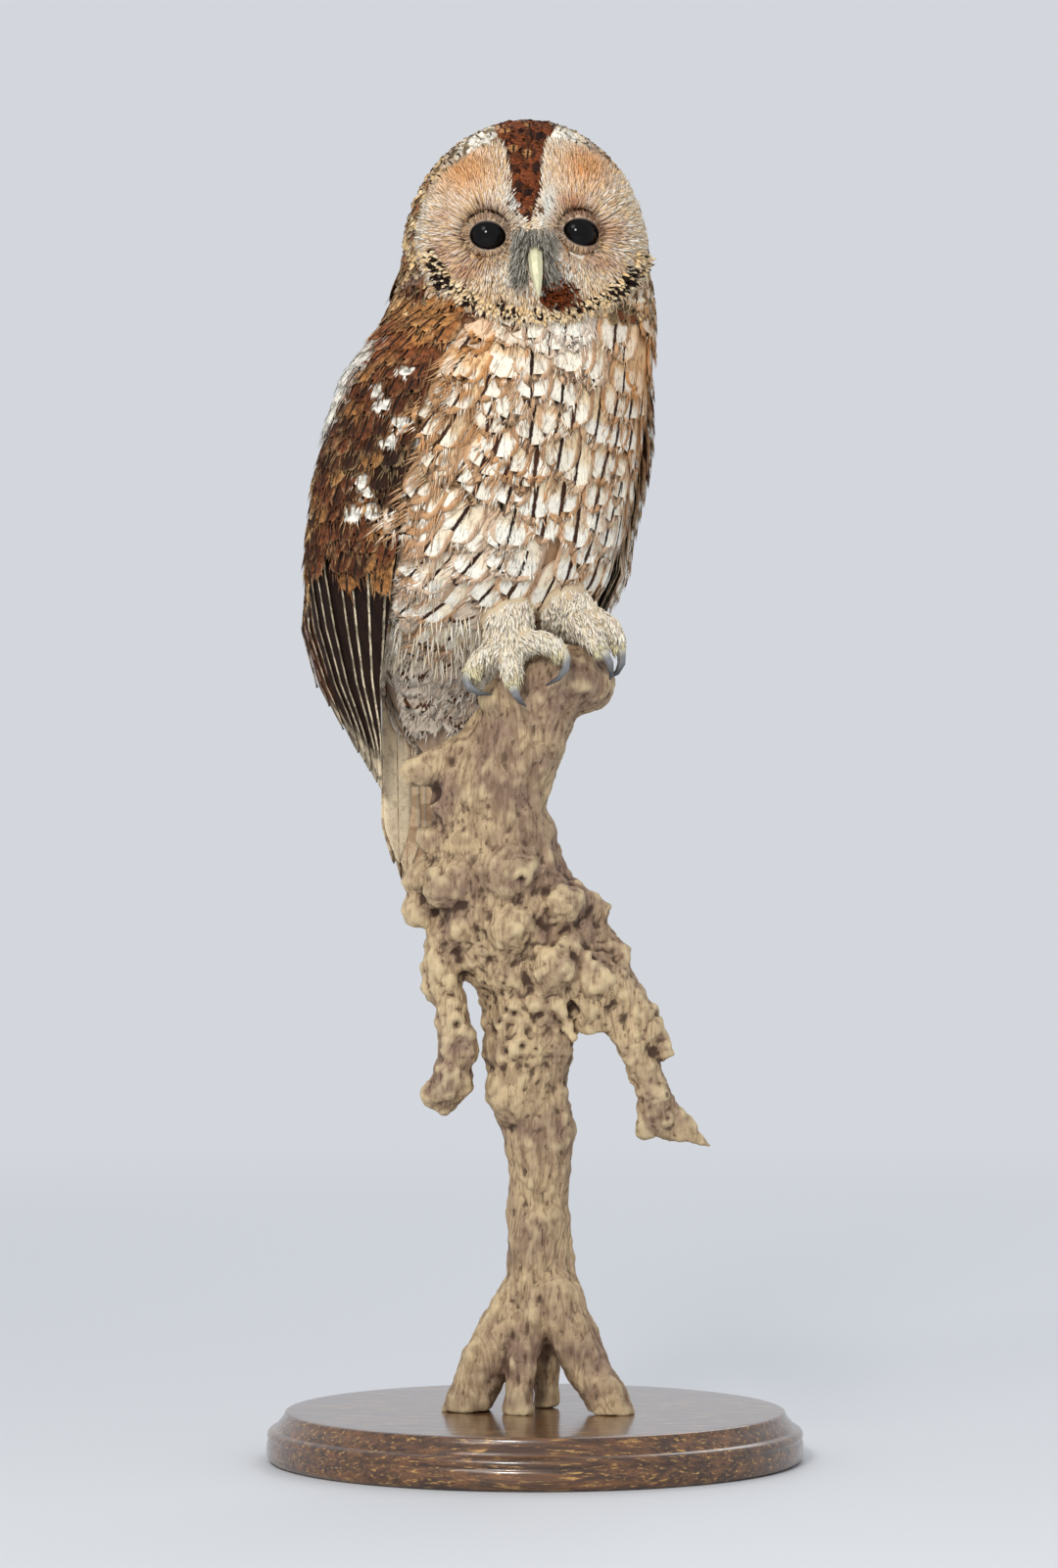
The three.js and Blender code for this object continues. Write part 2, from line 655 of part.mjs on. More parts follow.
place('base', baseGeometry(), 'oak');
place('head', geometryOf(solidOf(headGeometry()).subtract(joined([...sockets, billSolid(gap)]))), 'face');
place('neck', neckGeometry(0), 'face');
place('trunk', trunkGeometry(0), 'breast');
eyes.forEach(([side, spot]) => place(`eye_${side}`, geometryOf(eyeball(spot, 0)), 'eye'));
place('bill', geometryOf(billSolid(0)), 'bill');

const tail = tailSolid(0).subtract(wholeBody);
place('tail', geometryOf(tail), 'tail');
[['right', 1], ['left', -1]].forEach(([name, side]) => {
  const wing = wingSolid(side).subtract(wholeBody).subtract(tailSolid(gap));
  place(`wing_${name}_coverts`, geometryOf(wing.intersect(wingSide(side, true))), 'wing');
  place(`wing_${name}_flight`, geometryOf(wing.intersect(wingSide(side, false))), 'flight');
});

const grips = [wholeBody, tailSolid(gap)];
Object.entries(legs).forEach(([side, { toes }]) => {
  const swollenToes = toes.map((digit) => toeSolid(digit, gap));
  const leg = legSolid(side, 0).subtract(wholeBody).subtract(joined(swollenToes));
  place(`leg_${side}`, geometryOf(leg), 'foot');
  grips.push(legSolid(side, gap), ...swollenToes);
  toes.forEach((digit, i) => {
    const others = swollenToes.slice(0, i);
    const cutters = [wholeBody, clawSolid(digit, gap), ...others];
    place(`toe_${side}_${i + 1}`, geometryOf(toeSolid(digit, 0).subtract(joined(cutters))), 'foot');
    place(`claw_${side}_${i + 1}`, geometryOf(clawSolid(digit, 0)), 'claw');
    grips.push(clawSolid(digit, gap));
  });
});
place('driftwood', geometryOf(woodSolid().subtract(joined(grips))), 'wood');

export default owl;
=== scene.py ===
# A mounted tawny owl: skin and feathers, glass eyes, bill and claws, on a driftwood root and an oak base.
# Lengths are metres. The owl looks towards -Y; its own right side is towards -X.
import math

import bpy
import bmesh
import numpy as np
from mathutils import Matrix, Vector
from mathutils.bvhtree import BVHTree


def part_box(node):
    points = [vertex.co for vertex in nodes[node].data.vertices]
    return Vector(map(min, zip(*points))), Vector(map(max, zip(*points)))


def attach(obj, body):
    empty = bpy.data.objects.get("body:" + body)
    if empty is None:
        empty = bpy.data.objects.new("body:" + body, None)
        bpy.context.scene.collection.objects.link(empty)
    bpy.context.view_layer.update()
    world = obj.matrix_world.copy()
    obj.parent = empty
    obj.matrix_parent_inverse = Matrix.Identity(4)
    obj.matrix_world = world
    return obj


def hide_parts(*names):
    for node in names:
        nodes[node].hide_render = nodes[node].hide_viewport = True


mm = 0.001
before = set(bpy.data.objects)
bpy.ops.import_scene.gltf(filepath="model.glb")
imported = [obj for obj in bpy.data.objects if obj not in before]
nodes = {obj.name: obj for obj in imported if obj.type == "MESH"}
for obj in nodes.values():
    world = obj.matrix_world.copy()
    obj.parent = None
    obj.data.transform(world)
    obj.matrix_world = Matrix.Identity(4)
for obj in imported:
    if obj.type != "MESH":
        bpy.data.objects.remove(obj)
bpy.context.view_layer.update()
sides = ("right", "left")
toeNames = [f"toe_{side}_{k}" for side in sides for k in (1, 2, 3, 4)]
legNames = [f"leg_{side}" for side in sides]
covertNames = [f"wing_{side}_coverts" for side in sides]
dice = np.random.default_rng(7)


def paint(red, green, blue):  # a colour given in screen bytes, as linear light
    c = np.array([red, green, blue]) / 255
    return np.where(c <= 0.04045, c / 12.92, ((c + 0.055) / 1.055) ** 2.4)


def smoothStep(x, low, high):
    t = np.clip((x - low) / (high - low), 0, 1)
    return t * t * (3 - 2 * t)


def bump(x, centre, width):  # a bell of height 1
    return np.exp(-(((x - centre) / width) ** 2))


def unit(v):
    return v / np.maximum(np.linalg.norm(v, axis=-1, keepdims=True), 1e-12)


def blend(a, b, share):  # colours a to b by a share for each row
    share = np.asarray(share)[..., None]
    return a * (1 - share) + b * share


def planNoise(p, size, seed=0.0):  # smooth unevenness from -1 to 1: three crossed sine waves
    q = p / size
    a = np.sin(q[..., 0] * 1.7 + q[..., 1] * 2.3 + q[..., 2] * 1.1 + seed)
    b = np.sin(q[..., 1] * 1.3 - q[..., 2] * 2.9 + q[..., 0] * 0.7 + seed * 2.1 + 1.7)
    c = np.sin(q[..., 2] * 1.9 + q[..., 0] * 2.7 - q[..., 1] * 1.5 + seed * 0.7 + 4.1)
    return (a + b + c) / 3


def meshFromArrays(name, points, faces, material=None):
    mesh = bpy.data.meshes.new(name)
    mesh.vertices.add(len(points))
    mesh.vertices.foreach_set("co", np.ascontiguousarray(points, np.float32).ravel())
    mesh.loops.add(faces.size)
    mesh.loops.foreach_set("vertex_index", np.ascontiguousarray(faces, np.int32).ravel())
    mesh.polygons.add(len(faces))
    mesh.polygons.foreach_set("loop_start", np.arange(len(faces), dtype=np.int32) * faces.shape[1])
    mesh.update(calc_edges=True)
    mesh.polygons.foreach_set("use_smooth", np.ones(len(faces), bool))
    piece = bpy.data.objects.new(name, mesh)
    bpy.context.scene.collection.objects.link(piece)
    if material:
        mesh.materials.append(material)
    return piece


def setUv(piece, name, corners):
    layer = piece.data.uv_layers.new(name=name)
    layer.data.foreach_set("uv", np.ascontiguousarray(corners, np.float32).ravel())


def setColour(piece, name, values):  # one colour for each vertex, with an alpha of 1 where none is given
    rgba = np.ones((len(values), 4), np.float32)
    rgba[:, : values.shape[1]] = values
    made = piece.data.attributes.new(name, "FLOAT_COLOR", "POINT")
    made.data.foreach_set("color", rgba.ravel())


def arraysOf(piece):  # points and triangles of a node, with its loose corners merged
    work = bmesh.new()
    work.from_mesh(piece.data)
    bmesh.ops.remove_doubles(work, verts=work.verts, dist=2e-6)
    bmesh.ops.triangulate(work, faces=work.faces)
    mesh = bpy.data.meshes.new("scratch")
    work.to_mesh(mesh)
    work.free()
    points = np.zeros(len(mesh.vertices) * 3, np.float32)
    mesh.vertices.foreach_get("co", points)
    faces = np.zeros(len(mesh.polygons) * 3, np.int32)
    mesh.polygons.foreach_get("vertices", faces)
    bpy.data.meshes.remove(mesh)
    return points.reshape(-1, 3).astype(float), faces.reshape(-1, 3)


def joinedArrays(names):  # points and triangles of several nodes together
    allPoints = []
    allFaces = []
    start = 0
    for name in names:
        points, faces = arraysOf(nodes[name])
        allPoints.append(points)
        allFaces.append(faces + start)
        start += len(points)
    return np.vstack(allPoints), np.vstack(allFaces)


def settled(piece, *kinds):  # adds modifiers given as (kind, settings), and makes their result the mesh
    for kind, settings in kinds:
        made = piece.modifiers.new(kind.lower(), kind)
        for key, value in settings.items():
            setattr(made, key, value)
    graph = bpy.context.evaluated_depsgraph_get()
    mesh = bpy.data.meshes.new_from_object(piece.evaluated_get(graph))
    old = piece.data
    piece.modifiers.clear()
    piece.data = mesh
    bpy.data.meshes.remove(old)
    mesh.polygons.foreach_set("use_smooth", np.ones(len(mesh.polygons), bool))
    return piece


def pointsOf(piece):  # points and normals of a piece
    mesh = piece.data
    points = np.zeros(len(mesh.vertices) * 3, np.float32)
    mesh.vertices.foreach_get("co", points)
    normals = np.zeros(len(mesh.vertices) * 3, np.float32)
    mesh.vertex_normals.foreach_get("vector", normals)
    return points.reshape(-1, 3).astype(float), normals.reshape(-1, 3).astype(float)


def setPoints(piece, points):
    piece.data.vertices.foreach_set("co", np.ascontiguousarray(points, np.float32).ravel())
    piece.data.update()


class Shader:
    # A material under construction. Every call adds one node and gives back its output.
    def __init__(self, name, **surface):
        self.material = bpy.data.materials.new(name)
        self.material.use_nodes = True
        self.tree = self.material.node_tree
        self.surface = self.tree.nodes["Principled BSDF"]
        for socket, value in surface.items():
            self.surface.inputs[socket.replace("_", " ")].default_value = value

    def add(self, kind, output, settings, links):
        made = self.tree.nodes.new(kind)
        for key, value in settings.items():
            setattr(made, key, value)
        for socket, value in links.items():
            if isinstance(value, bpy.types.NodeSocket):
                self.tree.links.new(value, made.inputs[socket])
            elif value is not None:
                made.inputs[socket].default_value = value
        return made.outputs[output]

    def calc(self, operation, *values):
        return self.add("ShaderNodeMath", 0, {"operation": operation}, dict(enumerate(values)))

    def ramp(self, value, low, high):  # 0 below low, 1 above high
        settings = {"interpolation_type": "SMOOTHSTEP"}
        return self.add("ShaderNodeMapRange", 0, settings, {0: value, 1: low, 2: high, 3: 0.0, 4: 1.0})

    def mix(self, share, a, b):  # colours a to b
        a, b = [(*x, 1.0) if isinstance(x, np.ndarray) else x for x in (a, b)]
        return self.add("ShaderNodeMix", 2, {"data_type": "RGBA"}, {0: share, 6: a, 7: b})

    def stain(self, tone, value, low, high, share, colour):  # lays a colour over tone where value passes low
        return self.mix(self.calc("MULTIPLY", self.ramp(value, low, high), share), tone, colour)

    def noise(self, where, scale, detail=3.0, rough=0.55, twist=0.0):
        links = {"Vector": where, "Scale": scale, "Detail": detail, "Roughness": rough, "Distortion": twist}
        return self.add("ShaderNodeTexNoise", 0, {}, links)

    def place(self, scale=(1, 1, 1), turn=(0, 0, 0)):
        spot = self.add("ShaderNodeTexCoord", 3, {}, {})
        return self.add("ShaderNodeMapping", 0, {}, {"Vector": spot, "Rotation": turn, "Scale": scale})

    def attribute(self, name, output=0):
        return self.add("ShaderNodeAttribute", output, {"attribute_name": name}, {})

    def finish(self, colour, height=None, depth=0.0, strength=0.0):  # depth of the relief in millimetres
        self.tree.links.new(colour, self.surface.inputs["Base Color"])
        if height is not None:
            links = {"Height": height, "Strength": strength, "Distance": depth * mm}
            made = self.add("ShaderNodeBump", 0, {}, links)
            self.tree.links.new(made, self.surface.inputs["Normal"])
        return self.material


bodyFrame = {
    # height, then x and y of the axis
    "axis": [(341, -47, 52), (400, -41, 33), (440, -35, 25), (480, -28, 17), (520, -19, 8), (560, -8, -2),
             (590, -7, -8)],
    "step": 2.0,  # millimetres of height, or degrees, between rows and columns of rays
    "frontAzimuth": -60.0,  # where the breast points, in plan
    "faceAzimuth": -81.0,
}
axisTable = np.array(bodyFrame["axis"]) * mm
headHeight = axisTable[-1, 0]
domeRows = int(90 / bodyFrame["step"])


def axisPoint(z):
    z = np.minimum(z, headHeight)
    x, y = [np.interp(z, axisTable[:, 0], axisTable[:, k]) for k in (1, 2)]
    return np.stack([x, y, z], -1)


class RaySurface:
    # Distance of the outer surface from the body's axis: level rays up to the middle of the head, and
    # rays from that middle in every upward direction above it.
    def __init__(self, names, lowest, soften):
        points, faces = joinedArrays(names)
        tree = BVHTree.FromPolygons(points.tolist(), faces.tolist())
        down = int((headHeight - lowest) / (bodyFrame["step"] * mm))
        self.rows = domeRows + down + 1
        self.columns = int(360 / bodyFrame["step"])
        row = np.arange(self.rows)[:, None] + np.zeros(self.columns)[None]
        turn = np.arange(self.columns)[None] * math.radians(bodyFrame["step"]) + np.zeros((self.rows, 1))
        centre, way = self.ray(row, turn)
        reach = 0.3
        starts = (centre + way * reach).reshape(-1, 3).tolist()
        ways = (-way).reshape(-1, 3).tolist()
        found = [tree.ray_cast(a, b, reach)[3] for a, b in zip(starts, ways)]
        depth = np.array([np.nan if d is None else reach - d for d in found]).reshape(self.rows, self.columns)
        self.hit = np.isfinite(depth)
        self.radius = np.where(self.hit, depth, 0.0)
        for _ in range(soften):
            r = self.radius
            around = (np.roll(r, 1, 1) + np.roll(r, -1, 1)) / 2
            along = np.vstack([r[:1], (r[:-2] + r[2:]) / 2, r[-1:]])
            self.radius = np.where(self.hit, 0.4 * r + 0.3 * around + 0.3 * along, r)
        grid = centre + way * self.radius[..., None]
        across = np.roll(grid, -1, 1) - np.roll(grid, 1, 1)
        along = np.gradient(grid, axis=0)
        self.normal = unit(np.cross(along, across))
        outward = np.sum(self.normal * way, -1, keepdims=True)
        self.normal = np.where(outward < 0, -self.normal, self.normal)
        self.normal[0] = [0, 0, 1]

    def ray(self, row, turn):
        tilt = np.radians(np.clip(90 - row * bodyFrame["step"], 0, 90))
        z = headHeight - np.maximum(row - domeRows, 0) * bodyFrame["step"] * mm
        way = np.stack([np.cos(tilt) * np.cos(turn), np.cos(tilt) * np.sin(turn), np.sin(tilt)], -1)
        return axisPoint(z), way

    def look(self, grid, row, column):  # values between the grid's points, by straight lines
        row = np.clip(row, 0, self.rows - 1.001)
        r = row.astype(int)
        c = np.floor(column).astype(int)
        fr = row - r
        fc = column - c
        c0 = c % self.columns
        c1 = (c + 1) % self.columns
        if grid.ndim == 3:
            fr = fr[..., None]
            fc = fc[..., None]
        top = grid[r, c0] * (1 - fc) + grid[r, c1] * fc
        low = grid[r + 1, c0] * (1 - fc) + grid[r + 1, c1] * fc
        return top * (1 - fr) + low * fr

    def wrap(self, q):  # rows and columns of the rays that pass through the points q
        centre = axisPoint(q[..., 2])
        d = q - centre
        flat = np.hypot(d[..., 0], d[..., 1])
        tilt = np.degrees(np.arctan2(np.maximum(q[..., 2] - headHeight, 0), flat))
        row = np.where(q[..., 2] > headHeight, (90 - tilt) / bodyFrame["step"],
                       domeRows + (headHeight - q[..., 2]) / (bodyFrame["step"] * mm))
        turn = np.arctan2(d[..., 1], d[..., 0])
        return row, turn / math.radians(bodyFrame["step"])

    def drop(self, q):  # the points q moved along their rays onto the surface, and the normals there
        row, column = self.wrap(q)
        radius = self.look(self.radius, row, column)
        centre, way = self.ray(row, column * math.radians(bodyFrame["step"]))
        return centre + way * radius[..., None], unit(self.look(self.normal, row, column))

    def at(self, turnDegrees, row):
        centre, way = self.ray(row, np.radians(turnDegrees))
        radius = self.look(self.radius, row, np.asarray(turnDegrees) / bodyFrame["step"])
        return centre + way * radius[..., None]


def rowOfHeight(z):
    return domeRows + (headHeight - z) / (bodyFrame["step"] * mm)


bodySurface = RaySurface(["head", "neck", "trunk"], 0.343, soften=3)
wingSurface = RaySurface(["head", "neck", "trunk", *covertNames], 0.343, soften=2)
print("body rays", bodySurface.rows, bodySurface.columns)


def bodyTurn(p):  # degrees from the breast's front, growing towards the owl's right
    d = p - axisPoint(p[..., 2])
    turn = bodyFrame["frontAzimuth"] - np.degrees(np.arctan2(d[..., 1], d[..., 0]))
    return (turn + 180) % 360 - 180


def spotOnUnwrap(p):  # place of p on the flat unwrap of the skin: turn across, height up
    row, column = bodySurface.wrap(p)
    return np.stack([(column / bodySurface.columns + 0.5) % 1.0, 1 - row / (bodySurface.rows + 4)], -1)


air = paint(214, 218, 224)
studio = {
    "floor": paint(214, 216, 219),
    "floorReach": 9.0,
    "fadeFrom": 0.5,  # metres from the middle where the floor starts to fade into the air
    "fadeTo": 2.6,
    "airLight": 0.97,
    "lens": 130,
    "camera": (-0.003, -2.775, 0.331),
    "lit": (0, 0, 0.42),  # the point that the lamps face
    "lamps": [  # name, place, size, power, colour
        ("key", (-0.9, -1.6, 1.8), 0.7, 8, (1.0, 0.96, 0.9)),
        ("rim", (0.6, 1.6, 1.6), 1.0, 7, (1.0, 1.0, 1.0)),
        ("glint", (-0.42, -1.9, 1.1), 0.32, 18.0, (1.0, 0.97, 0.93)),
    ],
}
world = bpy.data.worlds.new("studio")
world.use_nodes = True
world.node_tree.nodes["Background"].inputs[0].default_value = (*air, 1)
world.node_tree.nodes["Background"].inputs[1].default_value = studio["airLight"]
bpy.context.scene.world = world
bpy.context.scene.view_settings.view_transform = "Standard"

for name, spot, size, power, colour in studio["lamps"]:
    lamp = bpy.data.lights.new(name, "AREA")
    lamp.size = size
    lamp.energy = power
    lamp.color = colour
    holder = bpy.data.objects.new(name, lamp)
    holder.location = spot
    holder.rotation_euler = (Vector(studio["lit"]) - Vector(spot)).to_track_quat("-Z", "Y").to_euler()
    bpy.context.scene.collection.objects.link(holder)

camera = bpy.data.objects.new("camera", bpy.data.cameras.new("camera"))
camera.data.lens = studio["lens"]
camera.location = studio["camera"]
camera.rotation_euler = (math.pi / 2, 0, 0)
bpy.context.scene.collection.objects.link(camera)
bpy.context.scene.camera = camera

shade = Shader("floor", Roughness=0.6)
spot = shade.add("ShaderNodeTexCoord", 3, {}, {})
far = shade.add("ShaderNodeVectorMath", 1, {"operation": "LENGTH"}, {0: spot})
fade = shade.ramp(far, studio["fadeFrom"], studio["fadeTo"])
glow = shade.add("ShaderNodeEmission", 0, {}, {"Color": (*air, 1), "Strength": studio["airLight"]})
shade.surface.inputs["Base Color"].default_value = (*studio["floor"], 1)
links = {0: fade, 1: shade.surface.outputs[0], 2: glow}
mixed = shade.add("ShaderNodeMixShader", 0, {}, links)
shade.tree.links.new(mixed, shade.tree.nodes["Material Output"].inputs[0])
reach = studio["floorReach"]
corners = np.array([[-1, -1, 0], [1, -1, 0], [1, 1, 0], [-1, 1, 0]]) * reach
floor = meshFromArrays("floor", corners, np.array([[0, 1, 2, 3]]), shade.material)
print("studio")


base = {
    # radius and height, from the middle of the underside to the middle of the top
    "profile": [(0, 1.2), (118, 0), (126.5, 0), (129.4, 0.5), (130.6, 1.6), (131.3, 3.4), (131.5, 6),
                (131.3, 8.6), (130.9, 10.2), (130.1, 10.9), (130.9, 11.6), (131.2, 12.8), (130.9, 14.2),
                (130.1, 15.2), (128.8, 16), (127.1, 16.3), (126.9, 17), (126, 18.4), (124.6, 20),
                (123.5, 21.3), (122.8, 22.5), (122.6, 23.2), (122.3, 23.9), (121.5, 24.3), (120.4, 24.45),
                (117, 24.5), (60, 24.5), (0, 24.5)],
    "turns": 256,
    "grainTurn": (0, 0, 0.06),  # the grain runs nearly along x
}


def turned(name, profile, turns, material):  # rings of points around the vertical axis, closed at the axis
    profile = np.array(profile) * mm
    a = np.arange(turns) / turns * 2 * np.pi
    rings = profile[1:-1]
    points = np.stack([rings[:, :1] * np.cos(a), rings[:, :1] * np.sin(a), rings[:, 1:] + 0 * a], -1)
    points = np.vstack([points.reshape(-1, 3), [[0, 0, profile[0, 1]], [0, 0, profile[-1, 1]]]])
    k = np.arange(turns)
    n = (k + 1) % turns
    faces = []
    for i in range(len(rings) - 1):
        low = i * turns
        high = low + turns
        faces += [np.stack([low + k, low + n, high + n], -1), np.stack([low + k, high + n, high + k], -1)]
    last = (len(rings) - 1) * turns
    faces += [np.stack([n, k, 0 * k + len(points) - 2], -1),
              np.stack([last + k, last + n, 0 * k + len(points) - 1], -1)]
    return meshFromArrays(name, points, np.vstack(faces), material)


shade = Shader("oak", Roughness=0.28, Coat_Weight=0.6, Coat_Roughness=0.12)
spot = shade.place()
warp = shade.noise(spot, 9, 3)
lengthwise = shade.place((8, 130, 130), base["grainTurn"])
flow = shade.noise(lengthwise, 1.6, 6, 0.6, 0.8)
pores = shade.noise(shade.place((26, 900, 900), base["grainTurn"]), 1.0, 3, 0.6)
fleck = shade.noise(shade.place((60, 420, 700), base["grainTurn"]), 1.0, 4, 0.7)
tone = shade.mix(shade.ramp(flow, 0.35, 0.68), paint(62, 38, 22), paint(122, 80, 44))
tone = shade.stain(tone, fleck, 0.55, 0.66, 0.75, paint(212, 164, 92))
tone = shade.stain(tone, pores, 0.5, 0.66, 0.6, paint(48, 28, 16))
tone = shade.stain(tone, warp, 0.45, 0.75, 0.3, paint(82, 50, 28))
oak = shade.finish(tone, pores, 0.12, 0.35)
baseBody = turned("oak_base", base["profile"], base["turns"], oak)
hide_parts("base")
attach(baseBody, "root")
print("base")


wood = {
    "grid": 1.45,  # millimetres between the points of the fine mesh
    "smoothing": 14,  # rounds that melt the bosses into the stem
    "wide": 34,  # rounds of smoothing that tell wide hollows, and narrow cracks, from the rest
    "narrow": 4,
    # how many, sizes, height of the rim and depth of the middle for their size, and painted shade in the
    # middle
    "burls": [(20, (7, 11), 0.08, -0.06, 0.0), (40, (2.6, 5), 0.24, 0.5, 0.9),
              (150, (1.3, 2.6), 0.42, -0.12, 0.15)],
    "burlHeights": (160, 300),  # where the burls sit on the root
    "floor": (24.3, 26, 34),  # underside of the roots, and the heights between which the relief fades in
    "grain": 0.7,  # depth of the long furrows
    # texture, size, strength, and how much of it is left away from the knotty middle
    "swells": [("swell_wide", 26, 9.0, 0.9), ("swell_middle", 14, 4.5, 0.4), ("swell_small", 7, 2.4, 0.3),
               ("swell_fine", 3.0, 0.9, 0.5)],
    "rings": 95,  # how closely the growth rings follow each other
}


def ownCopy(name, sources, grid, smooth=0):  # one closed mesh made of several nodes, on a fine regular grid
    points, faces = joinedArrays(sources)
    piece = meshFromArrays(name, points, faces)
    steps = [("REMESH", {"mode": "VOXEL", "voxel_size": grid * mm, "adaptivity": 0.0})]
    if smooth:
        steps.append(("SMOOTH", {"factor": 0.6, "iterations": smooth}))
    return settled(piece, *steps)


def cloud(name, size):  # a procedural texture that moves points in and out
    made = bpy.data.textures.new(name, "CLOUDS")
    made.noise_scale = size * mm
    made.noise_depth = 2
    return made


def hollowness(piece, rounds):  # how far each point lies below the smoothed surface, in millimetres
    points, normals = pointsOf(piece)
    copy = piece.copy()
    copy.data = piece.data.copy()
    bpy.context.scene.collection.objects.link(copy)
    settled(copy, ("SMOOTH", {"factor": 0.6, "iterations": rounds}))
    smoothed, _ = pointsOf(copy)
    bpy.data.objects.remove(copy)
    return np.sum((smoothed - points) * normals, -1) / mm


root = ownCopy("driftwood_root", ["driftwood"], wood["grid"], wood["smoothing"])
for name, size, strength, evenly in wood["swells"]:
    before, _ = pointsOf(root)
    press = {"texture": cloud(name, size), "strength": strength * mm, "mid_level": 0.5}
    press["texture_coords"] = "LOCAL"
    settled(root, ("DISPLACE", press))
    after, _ = pointsOf(root)
    share = evenly + (1 - evenly) * bump(before[:, 2], 0.225, 0.07)
    setPoints(root, before + (after - before) * share[:, None])
points, normals = pointsOf(root)
stretched = points * [1, 1, 0.16]
x, y, z = points.T
leaning = np.stack([x * 0.5 + z * 0.3, y, z * 0.5 - x * 0.2], -1)
isSpur = smoothStep(points[:, 0], 0.036, 0.05)[:, None]
along = stretched * (1 - isSpur) + leaning * isSpur
wander = planNoise(points, 0.012)[:, None] * 0.0028 + planNoise(points, 0.04, 3)[:, None] * 0.005
along = along + wander
furrow = -np.abs(planNoise(along, 0.0016, 1)) * 0.6 - np.abs(planNoise(along, 0.0034, 5)) + 0.8
knotty = bump(points[:, 2], 0.235, 0.085)
move = furrow * wood["grain"] * (1 - 0.5 * knotty)
low, high = wood["burlHeights"]
paintedShade = np.zeros(len(points))
for count, (small, large), lift, sinkIn, shadow in wood["burls"]:
    able = np.flatnonzero((points[:, 2] > low * mm) & (points[:, 2] < high * mm))
    able = able[dice.random(len(able)) < bump(points[able, 2], 0.225, 0.075)]
    for spot in points[dice.choice(able, count)]:
        size = dice.uniform(small, large) * mm
        near = np.linalg.norm(points - spot, axis=1) / size
        move += (bump(near, 0.55, 0.55) * lift - bump(near, 0, 0.38) * sinkIn) * size / mm
        # painted shade: the sunken middle of each burl is darkened to stand for its shadow
        paintedShade = np.maximum(paintedShade, bump(near, 0, 0.42) * shadow)
floorHeight, flatUpTo, fullFrom = wood["floor"]
rising = smoothStep(points[:, 2], flatUpTo * mm, fullFrom * mm)
setPoints(root, points + normals * (move * rising * mm)[:, None])
points, normals = pointsOf(root)
points[:, 2] = np.maximum(points[:, 2], floorHeight * mm)
setPoints(root, points)
deep = hollowness(root, wood["wide"])
fineDeep = hollowness(root, wood["narrow"])
hollow = np.clip(0.5 + deep * 0.3, 0, 1)
crack = np.clip(0.5 + fineDeep * 2.2, 0, 1)
setColour(root, "paintedShade", np.stack([paintedShade, hollow, crack], -1))  # painted shade of the holes, wide hollows and narrow cracks; the hollows also give painted highlights on the crests

shade = Shader("driftwood", Roughness=0.82, Specular_IOR_Level=0.3)
# the separated channels paint shade into holes, hollows and cracks, and highlights onto crests
pitShade = shade.add("ShaderNodeSeparateColor", 0, {}, {0: shade.attribute("paintedShade")})
lowLying, cracked = pitShade.node.outputs[1], pitShade.node.outputs[2]
lengthwise = shade.place((300, 300, 20))
grain = shade.noise(lengthwise, 1.0, 5, 0.6, 1.6)
fine = shade.noise(shade.place((800, 800, 130)), 1.0, 4, 0.65, 0.8)
growth = shade.noise(shade.place((34, 34, 12)), 1.0, 3, 0.5, 0.5)
rings = shade.calc("SINE", shade.calc("MULTIPLY", growth, wood["rings"]))
patch = shade.noise(shade.place(), 26, 4, 0.6)
blotch = shade.noise(shade.place(), 60, 5, 0.65)
tone = shade.mix(shade.ramp(patch, 0.36, 0.62), paint(146, 120, 102), paint(200, 174, 136))
tone = shade.stain(tone, blotch, 0.5, 0.72, 0.4, paint(134, 106, 94))
tone = shade.stain(tone, grain, 0.5, 0.66, 0.5, paint(98, 74, 56))
tone = shade.stain(tone, fine, 0.52, 0.64, 0.45, paint(104, 80, 60))
tone = shade.stain(tone, rings, 0.1, 1.0, 0.42, paint(108, 82, 62))
# painted shade in the narrow cracks
tone = shade.stain(tone, cracked, 0.56, 0.95, 0.7, paint(78, 57, 43))
# painted shade in the wide hollows
tone = shade.stain(tone, lowLying, 0.53, 0.85, 0.85, paint(68, 48, 38))
# painted highlight: crests that stand above the smoothed surface are lightened
tone = shade.stain(tone, lowLying, 0.46, 0.05, 0.7, paint(224, 202, 160))
# painted shade in the sunken middles of the burls
tone = shade.mix(shade.calc("MULTIPLY", pitShade, 0.65), tone, paint(66, 50, 42))
relief = shade.calc("ADD", shade.calc("MULTIPLY", grain, 0.7), shade.calc("MULTIPLY", fine, 0.5))
relief = shade.calc("ADD", relief, shade.calc("MULTIPLY", rings, -0.14))
root.data.materials.append(shade.finish(tone, relief, 0.9, 0.7))
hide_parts("driftwood")
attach(root, "root")
print("driftwood", len(points))


eyes = {
    "radius": 9.5,
    "lid": 1.15,  # how far the lids stand out from the globe
    "rimShare": 0.13,  # inner share of the lid that is bare and dark
    # half width and half height of the opening, its middle's offset across and up, and its slope
    "opening": {"right": (8.3, 6.1, -0.7, -1.2, 0.03), "left": (8.8, 5.8, -0.9, -0.5, 0.14)},
    "feathers": 620,
    "columns": 64,  # points round each lid and across it
    "rows": 9,
}


